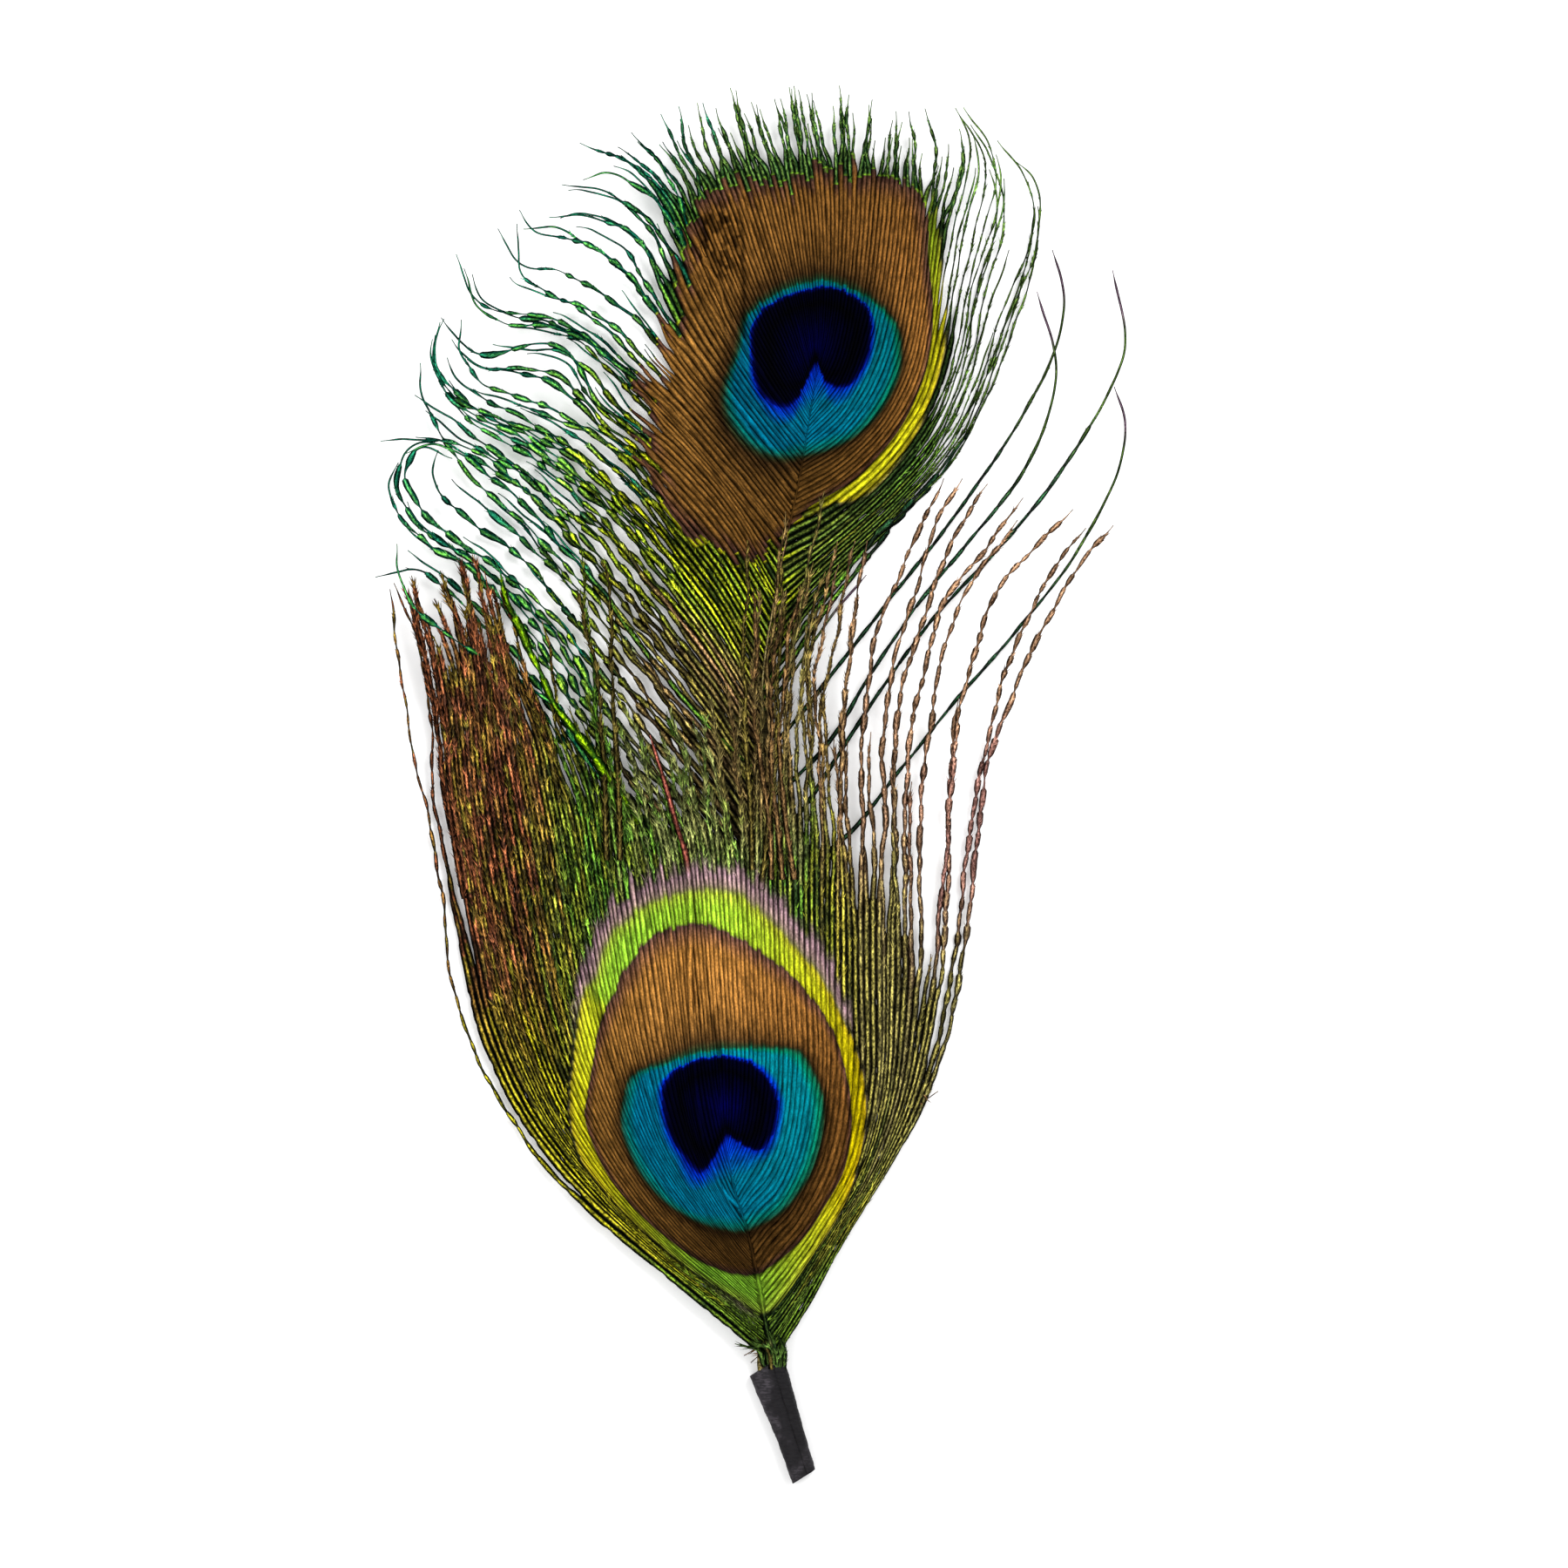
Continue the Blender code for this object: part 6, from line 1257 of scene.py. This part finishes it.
def rear_wear_and_shade(path, zone, along, rng):
    """The same for the rear feather, which is worn and pitted on the left of its eye; its gaps have painted
    shade.
    """
    x, y = path[:, 0], path[:, 1]
    ragged = ease(-x, -1, 4) * ease(y, 40, 48) + 0.6 * ease(-x, 2, 8)
    shaded_gap = ease(wander(rng, along, 15.0) + 0.35 * ragged, 0.7, 1.1)
    shaded_gap *= rng.uniform() < 0.5 + 0.4 * ragged.max()
    worn = np.exp(-(((x + 3.2) / 4.0) ** 2 + ((y - 56.0) / 5.4) ** 2))
    pits = ease(0.9 - flecks(rng, along / 0.8), 0.6, 0.8) * ease(worn, 0.4, 0.8)
    # Each barb has a steady painted shade in the gap beside it.
    lines = np.full(len(x), rng.uniform(0.1, 0.7))
    dashed = 0.1 + 0.8 * (1 - ease(y + 0.4 * x, 2, 12))
    return 1 - 0.8 * pits, np.maximum.reduce([shaded_gap, pits, lines]), dashed


def no_wear_and_shade(path, zone, along, rng):
    """The same for single barbs."""
    return np.ones(len(along)), np.zeros(len(along)), np.full(len(along), 0.7)


# --- Materials --------------------------------------------------------------------------------------
# Noise: (scale along its three axes, detail). A barb's axes are (barb, length, width).
STREAKS = ((1.0, 0.8, 1.6), 3.0)
SPECKS = ((1.0, 4.5, 2.6), 2.0)
FUZZ = ((1.0, 3.0, 2.2), 2.0)
FINE_RIDGES = ((1.0, 9.0, 1.0), 1.0)
CRINKLES = ((1500.0, 5200.0, 3000.0), 4.0)
GREY_PATCHES = ((420.0, 300.0, 300.0), 3.0)
PAPER_TOOTH = ((900.0, 900.0, 900.0), 2.0)
NOISE_RANGE = (0.3, 0.7)       # that most of the noise lies in


class Nodes:
    """Short calls for building a material's node tree."""

    def __init__(self, name):
        self.material = bpy.data.materials.new(name)
        self.material.use_nodes = True
        self.tree = self.material.node_tree
        self.shader = self.tree.nodes["Principled BSDF"]

    def fill(self, socket, value):
        """Links the value to the socket where it is a node's output, and else sets it there."""
        if isinstance(value, bpy.types.NodeSocket):
            self.tree.links.new(value, socket)
        else:
            socket.default_value = value

    def attribute(self, name, output="Fac"):
        node = self.tree.nodes.new("ShaderNodeAttribute")
        node.attribute_name = name
        return node.outputs[output]

    def math(self, operation, first, second=0.0):
        node = self.tree.nodes.new("ShaderNodeMath")
        node.operation = operation
        for socket, value in zip(node.inputs, (first, second)):
            self.fill(socket, value)
        return node.outputs[0]

    def product(self, *factors):
        value = factors[0]
        for factor in factors[1:]:
            value = self.math("MULTIPLY", value, factor)
        return value

    def spread(self, value, low, high, to_low=0.0, to_high=1.0):
        """Maps low..high of the value to to_low..to_high, smoothly and clamped."""
        node = self.tree.nodes.new("ShaderNodeMapRange")
        node.interpolation_type = "SMOOTHSTEP"
        for socket, number in zip(node.inputs, (value, low, high, to_low, to_high)):
            self.fill(socket, number)
        return node.outputs[0]

    def mix(self, share, first, second):
        node = self.tree.nodes.new("ShaderNodeMix")
        node.data_type = "RGBA"
        self.fill(node.inputs["Factor"], share)
        for name, value in (("A", first), ("B", second)):
            socket = next(s for s in node.inputs if s.name == name and s.type == "RGBA")
            self.fill(socket, (*value, 1.0) if isinstance(value, tuple) else value)
        return next(s for s in node.outputs if s.type == "RGBA")

    def ramp(self, value, stops, top):
        node = self.tree.nodes.new("ShaderNodeValToRGB")
        elements = node.color_ramp.elements
        while len(elements) > 1:
            elements.remove(elements[-1])
        for index, (position, colour) in enumerate(stops):
            element = elements[0] if index == 0 else elements.new(position / top)
            element.position = position / top
            element.color = (*colour, 1.0)
        self.fill(node.inputs[0], value)
        return node.outputs[0]

    def noise(self, vector, scale, detail=2.0):
        """Noise over the vector, stretched by scale along its three axes."""
        mapping = self.tree.nodes.new("ShaderNodeMapping")
        self.fill(mapping.inputs["Vector"], vector)
        mapping.inputs["Scale"].default_value = scale
        node = self.tree.nodes.new("ShaderNodeTexNoise")
        self.fill(node.inputs["Vector"], mapping.outputs[0])
        node.inputs["Scale"].default_value = 1.0
        node.inputs["Detail"].default_value = detail
        return node.outputs[0]

    def scaled(self, colour, factor):
        node = self.tree.nodes.new("ShaderNodeVectorMath")
        node.operation = "SCALE"
        self.fill(node.inputs[0], colour)
        self.fill(node.inputs["Scale"], factor)
        return node.outputs[0]

    def bump(self, height, strength, distance):
        node = self.tree.nodes.new("ShaderNodeBump")
        node.inputs["Strength"].default_value = strength
        node.inputs["Distance"].default_value = distance
        self.fill(node.inputs["Height"], height)
        self.fill(self.shader.inputs["Normal"], node.outputs[0])

    def surface(self, **sockets):
        for name, value in sockets.items():
            self.fill(self.shader.inputs[name.replace("_", " ")], value)


def barb_material(name):
    """Colours by the eye's zones, and by the barb's own paint outside them, in fine streaks along it."""
    n = Nodes(name)
    zone = n.math("DIVIDE", n.math("MINIMUM", n.attribute("zone"), RAMP_TOP), RAMP_TOP)
    eye = n.mix(n.attribute("warmth"), n.ramp(zone, COOL_RAMP, RAMP_TOP), n.ramp(zone, WARM_RAMP, RAMP_TOP))
    grain = n.attribute("grain", "Vector")
    across = n.attribute("across")
    side = n.math("ABSOLUTE", across)
    # A painted highlight on a stripe beside the barb's middle, as strong as its lit value.
    stripe = n.math("ABSOLUTE", n.math("SUBTRACT", across, 0.12))
    streaks = n.noise(grain, *STREAKS)
    specks = n.noise(grain, *SPECKS)
    lit = n.product(n.spread(stripe, 0.06, 0.5, 1.0, 0.0), n.attribute("lit"))
    loose = n.mix(lit, n.attribute("tint", "Color"), n.attribute("gleam", "Color"))
    fluff = n.attribute("fluff")
    colour = n.mix(fluff, eye, loose)
    # Painted shade on the edges, darker the wider the gap beside the barb is; a painted highlight on its
    # shaft, a light rib.
    crack = n.attribute("crack")
    lilac = n.spread(n.attribute("zone"), 3.95, 4.3, 0.0, 0.8)
    gap = n.math("MAXIMUM", n.math("MAXIMUM", crack, lilac), n.math("MULTIPLY", fluff, 0.25))
    edge_from = n.math("SUBTRACT", 0.5, n.math("MULTIPLY", gap, 0.35))
    edge_shade = n.math("SUBTRACT", 0.42, n.math("MULTIPLY", gap, 0.37))
    edge = n.spread(side, edge_from, 0.9, 1.0, edge_shade)
    rib = n.spread(side, 0.0, 0.45, 1.5, 0.96)
    streaky = n.spread(streaks, *NOISE_RANGE, 0.5, 1.5)
    streaks_and_painted_light = n.product(streaky, n.spread(specks, *NOISE_RANGE, 0.72, 1.28), edge, rib)
    # Loose barbs are fuzzy, and the heart and the turquoise are smoother than the rest, with fainter painted
    # light.
    fuzz = n.spread(n.noise(grain, *FUZZ), 0.36, 0.6, 0.3, 1.45)
    streaks_and_painted_light = n.product(streaks_and_painted_light, n.math("POWER", fuzz, fluff))
    depth = n.spread(n.attribute("zone"), 1.9, 2.2, 0.75, 1.0)
    shade = n.product(n.attribute("tone"), n.math("POWER", streaks_and_painted_light, depth))
    n.surface(
        Base_Color=n.scaled(colour, shade), Metallic=0.0, Specular_IOR_Level=0.01,
        Roughness=n.spread(specks, *NOISE_RANGE, 0.42, 0.6))
    n.bump(n.noise(grain, *FINE_RIDGES), 0.5, 0.00004)
    return n.material


def tape_material():
    """Black crepe tape: fine crosswise crinkles, with lighter grey patches where the crinkles stand high."""
    n = Nodes("tape_black_crepe")
    place = n.tree.nodes.new("ShaderNodeTexCoord").outputs["Object"]
    crinkle = n.noise(place, *CRINKLES)
    patches = n.noise(place, *GREY_PATCHES)
    # Lighter grey where the patches and the crinkles both stand high.
    worn = n.product(n.spread(patches, 0.45, 0.62), n.spread(crinkle, 0.42, 0.62, 0.2, 1.0))
    base = n.mix(worn, srgb(23, 21, 24), srgb(64, 60, 65))
    # Painted shade darkens the crease at the lapped edge and the top to its right.
    n.surface(
        Base_Color=n.mix(n.attribute("seam"), base, srgb(17, 16, 18)), Specular_IOR_Level=0.15,
        Roughness=n.spread(crinkle, *NOISE_RANGE, 0.55, 0.85))
    n.bump(crinkle, 0.6, 0.00006)
    return n.material


def floor_material():
    """White paper that glows a little, as the photograph's surface is brightly lit."""
    n = Nodes("paper_white")
    place = n.tree.nodes.new("ShaderNodeTexCoord").outputs["Object"]
    tooth = n.spread(n.noise(place, *PAPER_TOOTH), *NOISE_RANGE, 0.0, 0.03)
    n.surface(
        Base_Color=n.mix(tooth, (0.92, 0.92, 0.92), (0.88, 0.88, 0.89)), Roughness=0.9,
        Specular_IOR_Level=0.1, Emission_Color=(1.0, 1.0, 1.0, 1.0), Emission_Strength=0.12)
    return n.material


# --- Shafts and tape ----------------------------------------------------------------------------------
def shaft_object(name, rows, eye, paint, slim, tone, material):
    """A quill that narrows into the shaft. Where barbs cover its foot only a slim ridge shows.

    slim: the mm along it between which it comes to be covered. tone: its brightness outside the eye.
    """
    rows = smooth_path(rows, SHAFT_RINGS)
    path, along = rows[:, :3], lengths(rows)
    covered = ease(along, *slim)
    ridge = rows[:, 3] * mix(1.0, COVERED_WIDTH, covered)
    foot = mix(rows[:, 3], np.maximum(rows[:, 3], SHAFT_FOOT), covered)
    height = rows[:, 4] * mix(1.0, COVERED_HEIGHT, covered)
    left = sides(path)
    rings, across = [], []
    for turn in np.radians((np.arange(SHAFT_CORNERS) + 0.5) * 360 / SHAFT_CORNERS)[::-1]:
        is_above = math.sin(turn) > 0
        width = ridge if is_above else foot
        rise = 0.5 * math.copysign(abs(math.sin(turn)) ** 0.8, math.sin(turn)) * height
        if not is_above:
            rise = rise - FOOT_DROP * covered
        rings.append(path + left * (0.5 * math.cos(turn) * width)[:, None] + rise[:, None] * [0, 0, 1])
        across.append(0.8 * math.cos(turn))
    zone = eye.zone(path)
    loose = eye.looseness(path, zone)
    tint, gleam = paint(path)
    # Its tone carries the eye's painted light and shade, and lit gives it a steady painted highlight.
    values = dict(
        zone=zone, warmth=eye.warmth(path, zone), fluff=loose,
        tone=mix(0.5, tone, loose) * eye.light(path, zone), crack=np.zeros(len(path)),
        lit=np.full(len(path), 0.5), tint=tint, gleam=gleam)
    around = np.tile(across, len(path))
    grain = np.column_stack([np.full(len(around), SHAFT_GRAIN), np.repeat(along, SHAFT_CORNERS), around])
    meshes = Meshes()
    repeated = {key: np.repeat(value, SHAFT_CORNERS, axis=0) for key, value in values.items()}
    meshes.add_tube(np.stack(rings, axis=1), along, across=around, grain=grain, **repeated)
    return meshes.make(name, material)


def front_shaft_paint(path):
    """Horn at the bare quill, and dark green above it."""
    return layered(HORN, (DARK_GREEN, ease(path[:, 1], -60, -57)))


def rear_shaft_paint(path):
    """Horn, and browner towards the eye."""
    return layered(HORN, (BROWN_GOLD, ease(path[:, 1], 12, 22) * 0.9))


def tape_object(material):
    """A strip folded flat round the quills: rounded plies, a lapped edge and a slightly buckled top."""
    start, end = np.array(TAPE_MOUTH), np.array(TAPE_END)
    run = (end - start) / np.linalg.norm(end - start)
    across = np.array([-run[1], run[0]])
    share = np.linspace(0, 1, TAPE_RINGS)
    at = np.linspace(0, 1, len(TAPE_LEFT))
    left, right = np.interp(share, at, TAPE_LEFT), np.interp(share, at, TAPE_RIGHT)
    rng = np.random.default_rng(TAPE_SEED)
    length = share * TAPE_LENGTH
    buckle = [BUCKLE * wander(rng, length, 4.0) for _ in range(BUCKLES)]
    rings = []
    for index, (x, z, _) in enumerate(TAPE_SECTION):
        offset = x * np.where(x < 0, left, right) + 0.03 * wander(rng, length, 2.2)
        slant = run * (TAPE_SLANT * offset)[:, None]
        flat = start + (end - start) * share[:, None] + across * offset[:, None] - slant
        height = z + (buckle[index % BUCKLES] if z > UNDERSIDE else 0)
        rings.append(np.column_stack([flat, np.broadcast_to(height, len(share))]))
    # Painted shade: along the crease at the lapped edge and over the top to the right of it.
    seam = np.tile([float(dark) for _, _, dark in TAPE_SECTION][::-1], len(share))
    meshes = Meshes()
    meshes.add_tube(np.stack(rings, axis=1)[:, ::-1], length, seam=seam)
    return meshes.make("tape_folded", material)


# --- Stage --------------------------------------------------------------------------------------------
def make_stage():
    """A white surface, even white light from all round and two soft lamps."""
    bpy.ops.mesh.primitive_plane_add(size=FLOOR_SIDE, location=(0, 0, -FLOOR_DROP))
    floor = bpy.context.object
    floor.name = "floor"
    floor.data.materials.append(floor_material())
    world = bpy.data.worlds.new("studio")
    bpy.context.scene.world = world
    world.use_nodes = True
    background = world.node_tree.nodes["Background"]
    background.inputs["Color"].default_value = (1.0, 1.0, 1.0, 1.0)
    background.inputs["Strength"].default_value = SKY_STRENGTH
    area_light("key", place=(0.45, 0.5, 0.75), size=0.45, power=6.0)
    area_light("fill", place=(-0.6, -0.2, 0.75), size=0.6, power=3.0)
    bpy.context.scene.view_settings.view_transform = "Standard"


def area_light(name, place, size, power):
    """A square lamp that faces the object."""
    data = bpy.data.lights.new(name, "AREA")
    data.size = size
    data.energy = power
    light = bpy.data.objects.new(name, data)
    light.location = place
    light.rotation_euler = (-Vector(place)).to_track_quat("-Z", "Y").to_euler()
    bpy.context.scene.collection.objects.link(light)


def make_camera():
    """Straight above, framing what the photograph frames."""
    data = bpy.data.cameras.new("camera")
    data.sensor_width = SENSOR
    data.lens = SENSOR * CAMERA_HEIGHT / (PHOTO_SIDE * PIXEL)
    data.clip_end = CLIP_END
    camera = bpy.data.objects.new("camera", data)
    x = (PHOTO_SIDE / 2 - ORIGIN_PIXEL[0]) * PIXEL
    y = (ORIGIN_PIXEL[1] - PHOTO_SIDE / 2) * PIXEL
    camera.location = (x * MM, y * MM, (CAMERA_HEIGHT + VANE_HEIGHT) * MM)
    bpy.context.scene.collection.objects.link(camera)
    bpy.context.scene.camera = camera


# --- The object ---------------------------------------------------------------------------------------
SINGLE_HALF_WIDTH = 0.25
LONE_HALF_WIDTH = 0.2


def dress(obj, node):
    """The object rides with the model and stands for the node's solid."""
    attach(obj, "root")
    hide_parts(node)


def dress_vane(feather, ribbons, barbules, side, material):
    node, slot = f"{feather}_feather", f"{feather}_vane"
    dress(ribbons.make(f"{feather}_barbs_{side}", material), node)
    dress(barbules.make(f"{feather}_barbules_{side}", material, BLADE_ROWS), node)


def both_sides(strands, top):
    """(side, its strands) twice: the strand at the top is on both."""
    return ("left", strands[:top + 1]), ("right", strands[top:])


def make_front():
    """The feather with the lower eye, which lies on the other one's quill."""
    material = barb_material("front_barbs")
    outlines = (FRONT_HEART, FRONT_TURQUOISE, FRONT_BRONZE, FRONT_RING, FRONT_LILAC)
    eye = Eye(
        FRONT_EYE_CENTRE, outlines, FRONT_RING_WARMTH, FRONT_PAINTED_LIGHT, loose_from=(4.3, 5.1),
        gleam_from=(4.5, 5.2), ragged=FRONT_RAGGED, early=0.14)
    plumage = Plumage(FRONT_SEED, FRONT_SHAFT, eye, front_paint, front_wear_and_shade, FRONT_SPLITS)
    for side, strands in both_sides(FRONT_STRANDS, FRONT_TOP):
        ribbons, barbules = Meshes(), Meshes()
        plumage.fan(strands, ribbons, barbules)
        if side == "left":
            add_singles(FRONT_SINGLES, FRONT_SINGLES_SEED, FRONT_SHAFT, eye, ribbons, barbules)
        dress_vane("front", ribbons, barbules, side, material)
    shaft = shaft_object(
        "front_shaft", FRONT_SHAFT, eye, front_shaft_paint, slim=(5.5, 9.0), tone=0.5, material=material)
    dress(shaft, "front_feather")


def make_rear():
    """The feather with the upper eye."""
    material = barb_material("rear_barbs")
    outlines = (REAR_HEART, REAR_TURQUOISE, REAR_BRONZE, REAR_RING)
    eye = Eye(
        REAR_EYE_CENTRE, outlines, REAR_RING_WARMTH, REAR_PAINTED_LIGHT, loose_from=(3.85, 4.03),
        gleam_from=(3.95, 4.25), ragged=REAR_RAGGED, early=0.02)
    plumage = Plumage(REAR_SEED, REAR_SHAFT, eye, rear_paint, rear_wear_and_shade, REAR_SPLITS)
    for side, strands in both_sides(REAR_STRANDS, REAR_TOP):
        ribbons, barbules = Meshes(), Meshes()
        plumage.fan(strands, ribbons, barbules)
        if side == "left":
            add_singles(REAR_SINGLES, REAR_SINGLES_SEED, REAR_SHAFT, eye, ribbons, barbules)
        else:
            add_lone_barbs(eye, ribbons, barbules)
        dress_vane("rear", ribbons, barbules, side, material)
    shaft = shaft_object(
        "rear_shaft", REAR_SHAFT, eye, rear_shaft_paint, slim=(60.0, 75.0), tone=1.3, material=material)
    dress(shaft, "rear_feather")


def single_paint(colours, shown_from):
    """Paint of a single barb, which comes to its own colours from a share of its length on."""
    def paint(path, zone, along, end, rng):
        shown = ease(along, shown_from * end, (shown_from + 0.2) * end)
        return layered(GREEN, (colours, shown))

    return paint


def add_singles(singles, seed, shaft, eye, ribbons, barbules):
    """A table's single barbs. Each has its own seed, so that the others stay as they are without it."""
    for number, (root_y, style, colours, route) in enumerate(singles):
        is_broad = style == "broad"
        hooked = 0.12 if is_broad else 0.35
        shown_from = -1.0 if root_y is None else 0.25 if is_broad else 0.42
        plumage = Plumage(seed + number, shaft, eye, single_paint(COLOURS[colours], shown_from), no_wear_and_shade)
        path = plumage.strand_path(root_y, route)
        half_width = np.full(len(path), SINGLE_HALF_WIDTH)
        plumage.barb(path, half_width, hooked, STYLES[style], 1.0, ribbons, barbules)


def add_lone_barbs(eye, ribbons, barbules):
    """The long dark barbs that stand alone on the rear feather's right."""
    plumage = Plumage(LONE_SEED, REAR_SHAFT, eye, lone_paint, no_wear_and_shade)
    for root_y, route in REAR_STRAYS:
        path = plumage.strand_path(root_y, route)
        plumage.barb(path, np.full(len(path), LONE_HALF_WIDTH), 0.1, STYLES["lone"], 1.0, ribbons, barbules)


def main():
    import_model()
    make_front()
    make_rear()
    dress(tape_object(tape_material()), "stem_tape")
    make_stage()
    make_camera()


main()
